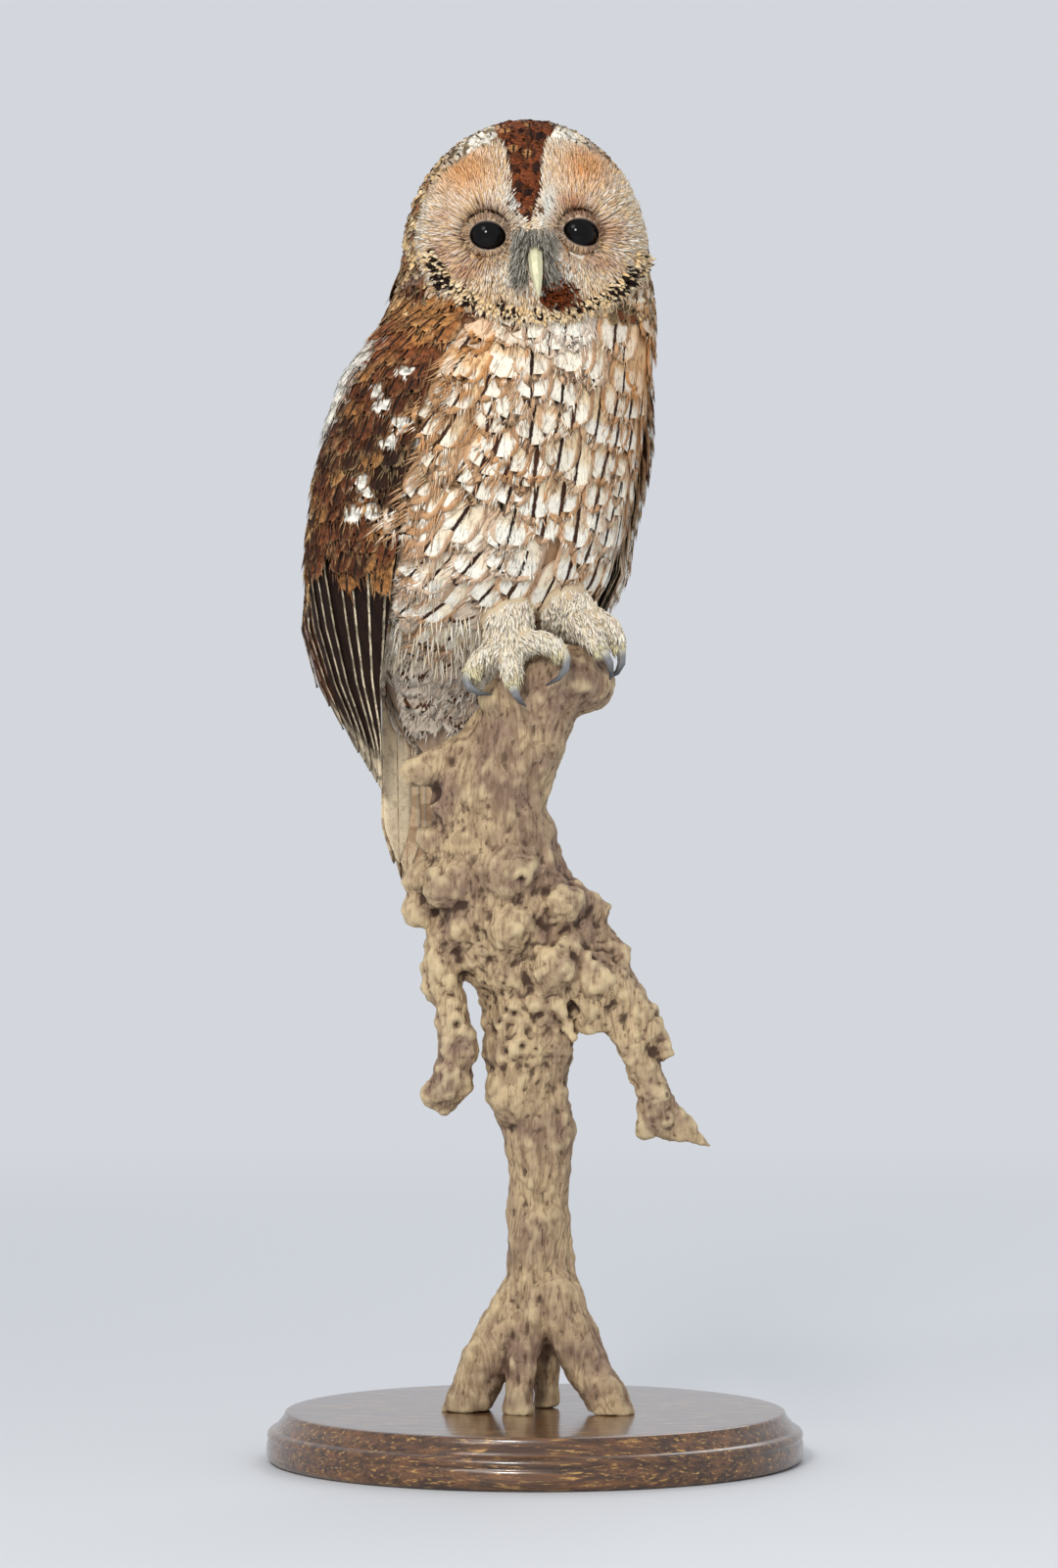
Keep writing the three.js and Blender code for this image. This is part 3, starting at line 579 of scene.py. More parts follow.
def ball(name, centre, radius, material, turns=48, rows=32):  # points by longitude and latitude
    a = np.arange(turns) / turns * 2 * np.pi
    b = (np.arange(1, rows) / rows - 0.5) * np.pi
    ring = np.stack([np.cos(a) * np.cos(b[:, None]), np.sin(a) * np.cos(b[:, None]),
                     np.sin(b[:, None]) + 0 * a], -1)
    points = np.vstack([ring.reshape(-1, 3), [[0, 0, -1], [0, 0, 1]]]) * radius + centre
    k = np.arange(turns)
    n = (k + 1) % turns
    faces = []
    for i in range(rows - 2):
        low = i * turns
        faces += [np.stack([low + k, low + n, low + turns + n], -1),
                  np.stack([low + k, low + turns + n, low + turns + k], -1)]
    last = (rows - 2) * turns
    total = len(points)
    faces += [np.stack([n, k, 0 * k + total - 2], -1), np.stack([last + k, last + n, 0 * k + total - 1], -1)]
    return meshFromArrays(name, points, np.vstack(faces), material)


shade = Shader("eye_glass", Roughness=0.03, IOR=1.27)
shade.surface.inputs["Base Color"].default_value = (*paint(9, 7, 8), 1)
glass = shade.material
shade = Shader("lid", Roughness=0.6)
lidSkin = shade.finish(shade.attribute("ground"))
eyeCentres = {}
for side in sides:
    low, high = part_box(f"eye_{side}")
    centre = (np.array(low) + np.array(high)) / 2
    eyeCentres[side] = centre
    globe = ball(f"glass_eye_{side}", centre, eyes["radius"] * mm, glass)
    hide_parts(f"eye_{side}")
    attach(globe, "root")

# millimetres between the points of the fine meshes, and how the horn of the bill sits on its core
bone = {"claw": 0.32, "bill": 0.4, "billTrim": 0.5, "billShift": (0, -0.4, -2.6)}
shade = Shader("bill", Roughness=0.32, Coat_Weight=0.3, Coat_Roughness=0.2)
spot = shade.place()
streak = shade.noise(shade.place((900, 900, 120)), 1.0, 3)
tone = shade.mix(shade.ramp(streak, 0.35, 0.7), paint(226, 222, 184), paint(205, 200, 158))
high = shade.add("ShaderNodeSeparateXYZ", 2, {}, {0: spot})
tone = shade.mix(shade.ramp(high, 0.584, 0.592), tone, paint(150, 146, 120))
bill = ownCopy("bill_horn", ["bill"], bone["bill"], 2)
points, normals = pointsOf(bill)
setPoints(bill, points - normals * bone["billTrim"] * mm + np.array(bone["billShift"]) * mm)
bill.data.materials.append(shade.finish(tone))
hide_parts("bill")
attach(bill, "root")

shade = Shader("claw", Roughness=0.25, Coat_Weight=0.5, Coat_Roughness=0.15)
reachOut = shade.attribute("reachOut", 2)
streak = shade.noise(shade.place((600, 600, 600)), 1.0, 2)
tone = shade.mix(shade.ramp(reachOut, 0.02, 0.4), paint(206, 200, 176), paint(112, 112, 114))
tone = shade.mix(shade.ramp(reachOut, 0.45, 0.9), tone, paint(38, 38, 42))
tone = shade.mix(shade.calc("MULTIPLY", streak, 0.15), tone, paint(170, 170, 168))
clawHorn = shade.finish(tone)
for toe in toeNames:
    name = toe.replace("toe", "claw")
    piece = ownCopy(f"{name}_horn", [name], bone["claw"], 1)
    points, _ = pointsOf(piece)
    toePoints, toeFaces = arraysOf(nodes[toe])
    tree = BVHTree.FromPolygons(toePoints.tolist(), toeFaces.tolist())
    away = np.array([tree.find_nearest(p)[3] for p in points.tolist()])
    made = piece.data.attributes.new("reachOut", "FLOAT", "POINT")
    made.data.foreach_set("value", (away / away.max()).astype(np.float32))
    piece.data.materials.append(clawHorn)
    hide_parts(name)
    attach(piece, "root")
print("eyes, bill, claws")


tint = {
    "white": paint(255, 250, 236),
    "cream": paint(248, 230, 196),
    "buff": paint(238, 202, 148),
    "orange": paint(218, 156, 90),
    "rust": paint(160, 92, 54),
    "rufous": paint(122, 70, 42),
    "brown": paint(88, 52, 32),
    "dark": paint(40, 26, 20),
    "mauve": paint(210, 182, 156),
    "down": paint(178, 140, 104),
}


def plumageMaterial(name, mottle=0.35, barb=0.25, rimFrom=0.66, fork=False):
    # ground: body colour. mark: colour of shaft streak and bars. rim: colour of the tip and edges.
    # plan: shaft half width, bar strength, pale patch strength, chance.
    # more: rim strength, number of bars / 10, speckle, lightness.
    shade = Shader(name, Roughness=0.75, Specular_IOR_Level=0.15)
    vane = shade.add("ShaderNodeUVMap", 0, {"uv_map": "Vane"}, {})
    parts = shade.add("ShaderNodeSeparateXYZ", 0, {}, {0: vane})
    u = parts
    v = parts.node.outputs[1]
    plan = shade.add("ShaderNodeSeparateColor", 0, {}, {0: shade.attribute("plan")})
    barring, patch = plan.node.outputs[1], plan.node.outputs[2]
    chance = shade.attribute("plan", 3)
    more = shade.add("ShaderNodeSeparateColor", 0, {}, {0: shade.attribute("more")})
    count = more.node.outputs[1]
    speckle = more.node.outputs[2]
    jitter = shade.calc("MULTIPLY", shade.calc("SUBTRACT", shade.attribute("more", 3), 0.5), 0.42)
    spot = shade.place()
    coarse = shade.noise(spot, 260, 3, 0.6)
    fine = shade.noise(spot, 900, 2, 0.6)
    swing = shade.calc("MULTIPLY", shade.calc("SUBTRACT", coarse, 0.5), 0.35)
    across = shade.calc("ABSOLUTE", shade.calc("MULTIPLY_ADD", u, 2.0, -1.0))
    across = shade.calc("ADD", across, shade.calc("MULTIPLY", swing, 0.5))
    up = shade.calc("ADD", v, shade.calc("MULTIPLY", swing, 0.3))
    tone = shade.attribute("ground")
    pale = shade.calc("MULTIPLY", shade.ramp(up, 0.5, 0.64), shade.ramp(up, 0.93, 0.85))
    pale = shade.calc("MULTIPLY", pale, shade.ramp(across, 0.84, 0.66))
    tone = shade.mix(shade.calc("MULTIPLY", pale, patch), tone, tint["white"])
    rim = shade.calc("MAXIMUM", shade.ramp(up, 0.83, 0.95), shade.ramp(across, rimFrom, 0.5 + rimFrom * 0.5))
    tone = shade.mix(shade.calc("MULTIPLY", rim, more), tone, shade.attribute("rim"))
    slope = shade.calc("ADD", up, shade.calc("MULTIPLY", across, -0.1))
    wave = shade.calc("MULTIPLY", slope, shade.calc("MULTIPLY", count, 62.8))
    band = shade.ramp(shade.calc("SINE", shade.calc("ADD", wave, chance)), 0.05, 0.55)
    tone = shade.mix(shade.calc("MULTIPLY", band, barring), tone, shade.attribute("mark"))
    blot = shade.calc("MULTIPLY", shade.ramp(coarse, 0.5, 0.66), speckle)
    tone = shade.mix(blot, tone, shade.attribute("mark"))
    width = shade.calc("MAXIMUM", plan, 0.001)
    shaft = shade.calc("SUBTRACT", 1.0, shade.ramp(shade.calc("DIVIDE", across, width), 0.7, 1.5))
    shaft = shade.calc("MULTIPLY", shaft, shade.ramp(plan, 0.01, 0.03))
    if fork:
        shaft = shade.calc("MULTIPLY", shaft, shade.ramp(up, 0.8, 0.86))
    tone = shade.mix(shaft, tone, shade.attribute("mark"))
    if fork:  # a dark Y: two arms that leave the shaft towards the edges
        slant = shade.calc("MULTIPLY_ADD", up, -3.2, 2.75)
        arm = shade.calc("ABSOLUTE", shade.calc("SUBTRACT", across, slant))
        arm = shade.calc("MULTIPLY", shade.ramp(arm, 0.24, 0.12), shade.ramp(plan, 0.01, 0.03))
        arm = shade.calc("MULTIPLY", arm, shade.ramp(across, 0.75, 0.6))
        tone = shade.mix(arm, tone, shade.attribute("mark"))
    grit = shade.calc("SUBTRACT", fine, 0.5)
    even = shade.calc("ADD", shade.calc("MULTIPLY_ADD", chance, 0.16, 0.92), jitter)
    light = shade.calc("MULTIPLY_ADD", grit, mottle, even)
    tone = shade.add("ShaderNodeHueSaturation", 0, {}, {"Color": tone, "Value": light})
    fromShaft = shade.calc("ABSOLUTE", shade.calc("MULTIPLY_ADD", u, 2.0, -1.0))
    comb = shade.calc("MULTIPLY_ADD", fromShaft, -9.0, shade.calc("MULTIPLY", v, 26.0))
    ridge = shade.calc("SINE", shade.calc("MULTIPLY", comb, 6.283))
    return shade.finish(tone, ridge, 0.25, barb)


plumage = plumageMaterial("plumage")
quillPlumage = plumageMaterial("quill_plumage", 0.25, 0.2, 0.82)
forkPlumage = plumageMaterial("fork_plumage", 0.3, 0.2, 0.7, True)


def dress(count, **given):  # colour plan of a set of feathers: each entry one value for all, or one for each
    plain = {"ground": tint["cream"], "mark": tint["dark"], "rim": tint["buff"], "shaft": 0.0, "bars": 0.0,
             "patch": 0.0, "edge": 0.0, "bands": 0.3, "speckle": 0.0, "light": 0.5}
    plain.update(given)
    wide = {key: np.broadcast_to(value, (count, 3) if key in ("ground", "mark", "rim") else (count,))
            for key, value in plain.items()}
    chance = dice.random(count)
    plan = np.stack([wide["shaft"], wide["bars"], wide["patch"], chance], -1)
    more = np.stack([wide["edge"], wide["bands"], wide["speckle"], wide["light"]], -1)
    return {"ground": wide["ground"], "mark": wide["mark"], "rim": wide["rim"], "plan": plan, "more": more}


def finishFeathers(name, points, faces, vane, root, colours, perFeather, patchSize=0.003,
                   material=None):
    # points of all feathers one after another; vane holds the place on its feather of each point
    piece = meshFromArrays(name, points, faces, material or plumage)
    order = faces.ravel()
    setUv(piece, "Vane", vane[order])
    home = np.repeat(spotOnUnwrap(root), perFeather, 0)
    setUv(piece, "OFBake", (home + (vane - 0.5) * patchSize)[order])
    for key, values in colours.items():
        setColour(piece, key, np.repeat(values, perFeather, 0))
    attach(piece, "root")
    print(name, len(root), "feathers", len(faces) * (faces.shape[1] - 2), "triangles")
    return piece


def vaneFaces(count, rows, columns):  # quads of closed feathers: top sheet, under sheet and the rim between
    sheet = rows * columns
    i, j = np.meshgrid(np.arange(rows - 1), np.arange(columns - 1), indexing="ij")
    a = (i * columns + j).ravel()
    top = np.stack([a, a + columns, a + columns + 1, a + 1], -1)
    under = top[:, ::-1] + sheet
    loop = [(0, k) for k in range(columns)] + [(k, columns - 1) for k in range(1, rows)]
    loop += [(rows - 1, k) for k in range(columns - 2, -1, -1)] + [(k, 0) for k in range(rows - 2, 0, -1)]
    edge = np.array([r * columns + c for r, c in loop])
    following = np.roll(edge, -1)
    rim = np.stack([edge, following, following + sheet, edge + sheet], -1)
    one = np.vstack([top, under, rim])
    return (one[None] + (np.arange(count) * sheet * 2)[:, None, None]).reshape(-1, 4)


def outline(v, narrow=0.3, roundFrom=0.62, power=2.2):  # half width along a feather: narrow root, round tip
    start = np.sqrt(np.clip(v / narrow, 0, 1)) * 0.75 + 0.25
    t = np.clip((v - roundFrom) / (1 - roundFrom), 0, 1)
    return start * (1 - t**power) ** (1 / power)


def layFeathers(name, surface, tips, along, length, width, colours, slot, depth=4.5, top=0.4, columns=9,
                rows=10, ragged=0.1, cup=0.5, tilt=0.5, thick=0.3, shape={}, patchSize=0.003, barbs=None,
                material=None):
    # Feathers lying on a surface. tips: where they end. along: way from root to tip. Other lengths are
    # millimetres: the feathers rise from depth below the surface at the root to top below it at the tip.
    count = len(tips)
    length = np.broadcast_to(length, (count,)) * mm
    width = np.broadcast_to(width, (count,)) * mm / 2
    _, facing = surface.drop(tips)
    along = unit(along - facing * np.sum(along * facing, -1, keepdims=True))
    root = tips - along * length[:, None]
    across = np.cross(facing, along)
    u = np.linspace(-1, 1, columns)
    v = 1 - (1 - np.linspace(0, 1, rows)) ** 1.25
    half = outline(v, **shape)
    comb = 1 - ragged * dice.random((count, 1, columns)) * np.where(np.arange(columns) % 2, 1.0, 0.4)
    up, aside = v[None, :, None], u[None, None]
    run = up * (1 - (1 - comb) * up**3) - 0.1 * aside**2 * up**2
    sway = dice.normal(0, 0.06, (count, 1, 1)) * up**2
    spread = half[None, :, None] * aside
    flat = root[:, None, None] + along[:, None, None] * (length[:, None, None] * run)[..., None]
    flat = flat + across[:, None, None] * (width[:, None, None] * (spread + sway))[..., None]
    ground, normal = surface.drop(flat)
    rise = -depth + (depth - top) * up**0.7 - cup * aside**2 * up
    stand = dice.normal(0, 0.22, (count, 1, 1))
    rise = rise + tilt * aside * half[None, :, None] + stand * up
    upper = ground + normal * (rise * mm)[..., None]
    lower = upper - normal * thick * mm
    points = np.stack([upper, lower], 1).reshape(-1, 3)
    vane = np.stack(np.broadcast_arrays((u[None] + 1) / 2, v[:, None]), -1).reshape(-1, 2)
    vane = np.tile(vane, (2 * count, 1))
    faces = vaneFaces(count, rows, columns)
    piece = finishFeathers(name, points, faces, vane, root, colours, 2 * rows * columns, patchSize,
                           material)
    if barbs:  # loose barbs lying on each feather, leaving the shaft at a slant and passing its edge
        each = barbs["each"]
        u0 = dice.uniform(-0.9, 0.9, (count, each, 1))
        v0 = dice.uniform(*barbs["from"], (count, each, 1))
        t = np.array([0, 0.5, 1.0])
        size = barbs["length"] * mm * dice.uniform(0.7, 1.3, (count, each, 1))
        du = (np.sign(u0) * barbs["splay"] + dice.normal(0, 0.15, u0.shape)) * size / width[:, None, None]
        un = u0 + du * t
        vn = v0 + size / length[:, None, None] * t
        reachOut = outline(np.minimum(v0, 0.84), **shape)
        run = length[:, None, None] * (vn - 0.1 * u0**2 * v0**2)
        flat = root[:, None, None] + along[:, None, None] * run[..., None]
        flat = flat + across[:, None, None] * (width[:, None, None] * (un * reachOut))[..., None]
        ground, normal = surface.drop(flat)
        rise = -depth + (depth - top) * np.minimum(vn, 1.1) ** 0.7 - cup * un**2 * vn
        rise = rise + tilt * un * reachOut + stand * vn
        rise = rise + 0.12 + barbs["lift"] * dice.uniform(0, 1, u0.shape) * t**1.5
        path = (ground + normal * (rise * mm)[..., None]).reshape(-1, 3, 3)
        owner = np.repeat(np.arange(count), each)
        kin = {key: values[owner].copy() for key, values in colours.items()}
        kin["more"][:, 3] = dice.random(len(owner))
        vanePath = np.stack([np.clip(un, -1, 1) / 2 + 0.5, np.clip(vn, 0, 1)], -1).reshape(-1, 3, 2)
        facing = normal[:, :, 0].reshape(-1, 3)
        slim(f"{name}_barbs", path, facing, barbs["width"], vanePath, root[owner], kin,
             material=material)
    return piece


def slim(name, path, facing, width, vanePath, root, colours, thick=0.3, material=None):
    # closed slim blades along paths of three points
    count, steps = path.shape[:2]
    ahead = unit(path[:, -1] - path[:, 0])
    facing = unit(facing - ahead * np.sum(facing * ahead, -1, keepdims=True))
    across = np.cross(facing, ahead)
    rings = steps - 1
    half = np.array([0.7, 1.0])[None, :, None] * width * mm / 2
    body = path[:, :rings]
    ring = np.stack([body - across[:, None] * half, body + facing[:, None] * half * thick,
                     body + across[:, None] * half, body - facing[:, None] * half * thick], 2)
    points = np.concatenate([ring.reshape(count, -1, 3), path[:, -1:]], 1).reshape(-1, 3)
    vane = np.concatenate([np.repeat(vanePath[:, :rings], 4, 1), vanePath[:, -1:]], 1).reshape(-1, 2)
    return finishFeathers(name, points, bladeFaces(count, rings), vane, root, colours, rings * 4 + 1,
                          material=material)


def bladeFaces(count, rings):  # triangles of closed slim blades of four sides
    k = np.arange(4)
    n = (k + 1) % 4
    faces = []
    for i in range(rings - 1):
        low = i * 4
        faces += [np.stack([low + k, low + 4 + n, low + n], -1),
                  np.stack([low + k, low + 4 + k, low + 4 + n], -1)]
    last = (rings - 1) * 4
    faces.append(np.stack([last + k, 0 * k + rings * 4, last + n], -1))
    faces.append(np.array([[0, 1, 2], [0, 2, 3]]))
    one = np.vstack(faces)
    return (one[None] + (np.arange(count) * (rings * 4 + 1))[:, None, None]).reshape(-1, 3)


def layBlades(name, root, along, facing, length, width, colours, slot, bend=0.15, rings=3, thick=0.35):
    # Slim blades: they leave the root and bend over. Each is a closed lozenge in section, ending in a point.
    count = len(root)
    length = np.broadcast_to(length, (count,)) * mm
    width = np.broadcast_to(width, (count,)) * mm / 2
    along = unit(along)
    facing = unit(facing - along * np.sum(facing * along, -1, keepdims=True))
    across = np.cross(facing, along)
    t = np.linspace(0, 1, rings + 1)
    bow = (bend * np.sin(t * np.pi * 0.5))[None, :, None]
    path = root[:, None] + (along[:, None] * t[None, :, None] + facing[:, None] * bow) * length[:, None, None]
    half = np.array([0.75, 1.0, 0.8])[:rings][None, :, None] * width[:, None, None]
    body = path[:, :rings]
    ring = np.stack([body - across[:, None] * half, body + facing[:, None] * half * thick,
                     body + across[:, None] * half, body - facing[:, None] * half * thick], 2)
    points = np.concatenate([ring.reshape(count, -1, 3), path[:, -1:]], 1).reshape(-1, 3)
    vane = np.concatenate([np.stack([np.tile([0.1, 0.5, 0.9, 0.5], rings), np.repeat(t[:rings], 4)], -1),
                           [[0.5, 1.0]]])
    faces = bladeFaces(count, rings)
    return finishFeathers(name, points, faces, np.tile(vane, (count, 1)), root, colours, rings * 4 + 1)


def rootRows(surface, top, bottom, down, across, jitter=0.15):  # staggered places: rows down, spacing across
    rows = np.arange(top, bottom, 0.25)
    turns = np.arange(0, 360, 6)
    ring = surface.at(turns[None] + 0 * rows[:, None], rows[:, None] + 0 * turns[None])
    arc = np.concatenate([[0], np.cumsum(np.linalg.norm(np.diff(ring, axis=0), axis=-1).mean(1))])
    girth = np.linalg.norm(np.roll(ring, -1, 1) - ring, axis=-1).sum(1)
    found = []
    for k, s in enumerate(np.arange(0, arc[-1], down * mm)):
        row = np.interp(s, arc, rows)
        count = max(1, round(np.interp(s, arc, girth) / (across * mm)))
        turn = (np.arange(count) + 0.5 * (k % 2) + dice.normal(0, jitter, count)) / count * 360
        found.append(np.stack([turn, row + dice.normal(0, jitter * down / bodyFrame["step"], count)], -1))
    found = np.vstack(found)
    return surface.at(found[:, 0], np.clip(found[:, 1], 0, surface.rows - 2))


flesh = ["head", "neck", "trunk", *covertNames, *legNames, *toeNames]
skinPlan = {"grid": 2.0, "depth": 4.6, "footDepth": 1.5, "footReach": 7}
skin = ownCopy("owl_skin", flesh, skinPlan["grid"], 4)
points, normals = pointsOf(skin)
footPoints, footFaces = joinedArrays([*legNames, *toeNames])
footTree = BVHTree.FromPolygons(footPoints.tolist(), footFaces.tolist())


def footNear(p, reach):  # 1 on the legs and toes, 0 further than reach millimetres from them
    away = np.array([footTree.find_nearest(q)[3] for q in p.tolist()])
    return 1 - smoothStep(away, 0, reach * mm)


onFoot = footNear(points, skinPlan["footReach"])
sink = skinPlan["depth"] * (1 - onFoot) + skinPlan["footDepth"] * onFoot
setPoints(skin, points - normals * (sink * mm)[:, None])
settled(skin, ("SMOOTH", {"factor": 0.5, "iterations": 3}))
print("skin", len(points))


def seen(p):  # x and z in millimetres
    return p[:, 0] / mm, p[:, 2] / mm


def blob(x, z, cx, cz, rx, rz):
    return np.exp(-(((x - cx) / rx) ** 2) - ((z - cz) / rz) ** 2)


def patches(x, z, rows):  # sum of soft oval patches
    return sum(strength * blob(x, z, *place) for *place, strength in rows)


facePlan = {"middle": (0.5, 597), "half": 53, "above": 41, "below": 39}  # the facial disc, in millimetres
# soft patches of the coat: middle across and up, half sizes, strength
bodyMarks = {
    "warm": [(-38, 541, 26, 24, 1), (52, 530, 16, 40, 0.8), (-45, 490, 16, 40, 0.25)],
    "white": [(14, 545, 22, 20, 1)],
    "rusty": [(-4, 500, 14, 26, 0.6), (36, 480, 14, 30, 0.3)],
}
headMarks = {
    "pale": [(-26, 643, 13, 11, 1), (16, 643, 12, 11, 1), (-14.5, 627, 3.5, 15, 1), (7.5, 622, 4, 17, 1)],
    "orange": [(-33, 623, 14, 13, 1), (25, 625, 12, 11, 1)],
    "rusty": [(-40, 590, 6, 6, 0.6), (-31, 582, 7, 4, 0.8), (34, 598, 7, 5, 0.6), (31, 586, 7, 4, 0.7),
              (17, 609, 8, 3.5, 0.8), (-40, 603, 6, 3, 0.5)],
    "lower": [(-24, 569, 17, 8, 1), (30, 570, 14, 9, 1)],
    "brow": [(-13, 607, 4, 8, 1), (9, 607, 4, 9, 1), (-12, 579, 5, 7, 0.8), (14, 580, 6, 8, 1)],
    "ruff": [(-48, 573, 8, 9, 1), (46, 569, 8, 12, 1)],
}


def discReach(p):  # 1 on the rim of the facial disc, less inside it
    x, z = seen(p)
    across, up = facePlan["middle"]
    return np.hypot((x - across) / facePlan["half"],
                    (z - up) / np.where(z > up, facePlan["above"], facePlan["below"]))


def wingShare(p):  # 1 where the folded wing's coverts lie over the body
    row, column = bodySurface.wrap(p)
    outer = wingSurface.look(wingSurface.radius, row, column)
    inner = bodySurface.look(bodySurface.radius, row, column)
    return smoothStep(outer - inner, 0.001, 0.004)


def bodyDress(p, overWing=False):  # colour plan of the contour feathers below the head that end at p
    x, z = seen(p)
    count = len(p)
    chance = dice.random(count)
    turn = bodyTurn(p)
    front = 1 - smoothStep(np.abs(turn), 70, 95)
    wing = wingShare(p) * (not overWing)
    patchy = planNoise(p, 0.012, 3) * 0.5 + 0.5
    warm = np.clip(patches(x, z, bodyMarks["warm"]), 0, 1)
    whiteTop = patches(x, z, bodyMarks["white"])
    rusty = patches(x, z, bodyMarks["rusty"])
    ground = blend(tint["cream"], tint["buff"], np.clip(0.45 * patchy + 0.7 * warm, 0, 1))
    ground = blend(ground, tint["orange"], np.clip(warm * 0.75 + rusty * 0.6, 0, 1))
    ground = blend(ground, tint["white"], np.clip(whiteTop, 0, 0.85))
    low = smoothStep(-z, -470, -425)
    ground = blend(ground, tint["white"], 0.45 * low)
    light = 0.38 + 0.15 * low - 0.6 * rusty + 0.6 * (chance - 0.5)
    rim = blend(tint["rust"], tint["orange"], np.clip(light, 0, 1))
    mark = blend(tint["dark"], tint["brown"], chance * 0.6)
    back = blend(tint["rufous"], tint["brown"], patchy)
    back = blend(back, tint["buff"], 0.35 * (chance > 0.7))
    spots = (chance > 0.72) * wing
    aside = np.maximum(wing, 1 - front)
    streaked = dice.random(count) > 0.25 * smoothStep(z, 480, 520)
    patch = 0.3 + 0.45 * (1 - warm) + 0.3 * low + 0.35 * (dice.random(count) - 0.5)
    share = {
        "ground": blend(ground, back, aside),
        "mark": blend(mark, tint["dark"], aside),
        "rim": blend(rim, blend(tint["rufous"], tint["buff"], chance), aside),
        "shaft": (0.07 + 0.05 * chance) * (1 - 0.6 * whiteTop) * (1 - 0.4 * aside) * streaked,
        "bars": 0.35 * aside,
        "patch": np.clip(patch, 0, 1) * (1 - aside) + spots,
        "edge": (0.42 + 0.4 * chance - 0.4 * whiteTop) * (1 - aside) + 0.5 * aside,
        "bands": 0.3 + 0.2 * aside,
        "speckle": 0.15 * (1 - aside) + 0.8 * aside,
    }
    return dress(count, **share)


def bodyWay(p):  # the way feathers point, below the head
    x, z = seen(p)
    lean = 26 * smoothStep(-x, 0, 45) + 14 * smoothStep(x, 10, 50) * smoothStep(-z, -540, -470) + 6
    turn = bodyTurn(p)
    front = 1 - smoothStep(np.abs(turn), 80, 110)
    lean = np.radians(lean) * front
    side = np.array([-1.0, 0, 0])
    return -np.cos(lean)[:, None] * np.array([0, 0, 1.0]) + np.sin(lean)[:, None] * side


wings = {
    # height, then side and forward of the leading and trailing edges, and the swell between them
    "rows": [(325, 45, -28, 45, -33, 0), (332, 46.5, -25, 46.5, -39, 1.5), (352, 52, -15, 54, -46, 4),
             (379, 60, 0, 66, -51, 9), (407, 67, 20, 71, -55, 15), (435, 72.6, 37.8, 60.3, -55.2, 24.9),
             (456, 72.5, 42.4, 59.8, -52, 25.7), (479, 71.3, 46.4, 57.2, -48.7, 26.6),
             (508, 67.8, 54.4, 55.2, -40, 25.5), (536, 63.9, 60, 53, -26.5, 23),
             (554, 52.3, 60.5, 42, -18, 20)],
    "setBack": {"right": 0, "left": 14},  # how much further back the left wing's leading edge lies
    "tuck": {"right": 0, "left": 0.13},
}
bodyPlan = {"middle": (-25, 20), "yaw": 30.0}
leftWay = np.array([math.cos(math.radians(bodyPlan["yaw"])), math.sin(math.radians(bodyPlan["yaw"]))])
frontWay = np.array([leftWay[1], -leftWay[0]])


def planPoint(side, forward):  # millimetres to the owl's right and forward, as plan coordinates in metres
    place = np.array(bodyPlan["middle"]) - side[..., None] * leftWay + forward[..., None] * frontWay
    return place * mm


class WingSide:
    # The outer face of one folded wing, with the same calls as the body's surface.
    def __init__(self, side):
        self.side = side
        self.sign = 1 if side == "right" else -1
        self.table = np.array(wings["rows"], float)

    def edges(self, z):
        h = z / mm
        found = [np.interp(h, self.table[:, 0], self.table[:, k]) for k in range(1, 6)]
        leadS, leadF, trailS, trailF, swell = found
        tuck = wings["tuck"][self.side]
        narrow = (1 - tuck * smoothStep(500 - h, 0, 60) + tuck * 0.3) * self.sign
        leadF = leadF - wings["setBack"][self.side] * smoothStep(h, 340, 420)
        start = planPoint(leadS * narrow, leadF)
        end = planPoint(trailS * narrow, trailF)
        chord = end - start
        out = unit(np.stack([-chord[..., 1], chord[..., 0]], -1)) * self.sign
        return start, chord, out, swell * mm

    def point(self, z, t):  # t runs from the leading edge to the trailing edge
        start, chord, away, swell = self.edges(z)
        arch = np.sin(np.pi * np.clip(t, 0.001, 0.999)) ** 0.85
        flat = start + chord * t[..., None] + away * (swell * arch)[..., None]
        return np.concatenate([flat, z[..., None]], -1)

    def across(self, q):
        start, chord, _, _ = self.edges(q[..., 2])
        return np.sum((q[..., :2] - start) * chord, -1) / np.sum(chord * chord, -1)

    def drop(self, q):
        z = q[..., 2]
        t = self.across(q)
        here = self.point(z, t)
        ahead = self.point(z, np.clip(t, 0.02, 0.98) + 0.01) - self.point(z, np.clip(t, 0.02, 0.98) - 0.01)
        above = self.point(z + 0.002, t) - self.point(z - 0.002, t)
        normal = unit(np.cross(ahead, above)) * -self.sign
        _, _, away, _ = self.edges(z)
        outward = np.sum(normal[..., :2] * away, -1, keepdims=True)
        return here, normal * np.sign(outward)


tail = {
    # height, side, forward
    "rows": [(267, 3, -45), (303, 3, -45), (330, 3.5, -45), (360, 4, -45), (385, 4.5, -46)],
    "halfWidth": 33,
    "bow": 6,  # the two edges lie this far in front of the middle
}


class TailSide:
    # The tail's middle sheet, seen from the front (sign 1) or from behind (sign -1).
    def __init__(self, sign):
        self.sign = sign
        self.table = np.array(tail["rows"], float)

    def drop(self, q):
        h = q[..., 2] / mm
        middle, forward = [np.interp(h, self.table[:, 0], self.table[:, k]) for k in (1, 2)]
        flat = q[..., :2] - np.array(bodyPlan["middle"]) * mm
        side = -(flat @ leftWay) / mm
        x = (side - middle) / tail["halfWidth"]
        place = planPoint(side, forward + tail["bow"] * x**2)
        here = np.concatenate([place, q[..., 2:]], -1)
        slope = -2 * tail["bow"] * x / tail["halfWidth"]
        normal = frontWay + slope[..., None] * -leftWay
        normal = np.concatenate([normal, 0 * q[..., 2:]], -1)
        return here, unit(normal) * self.sign


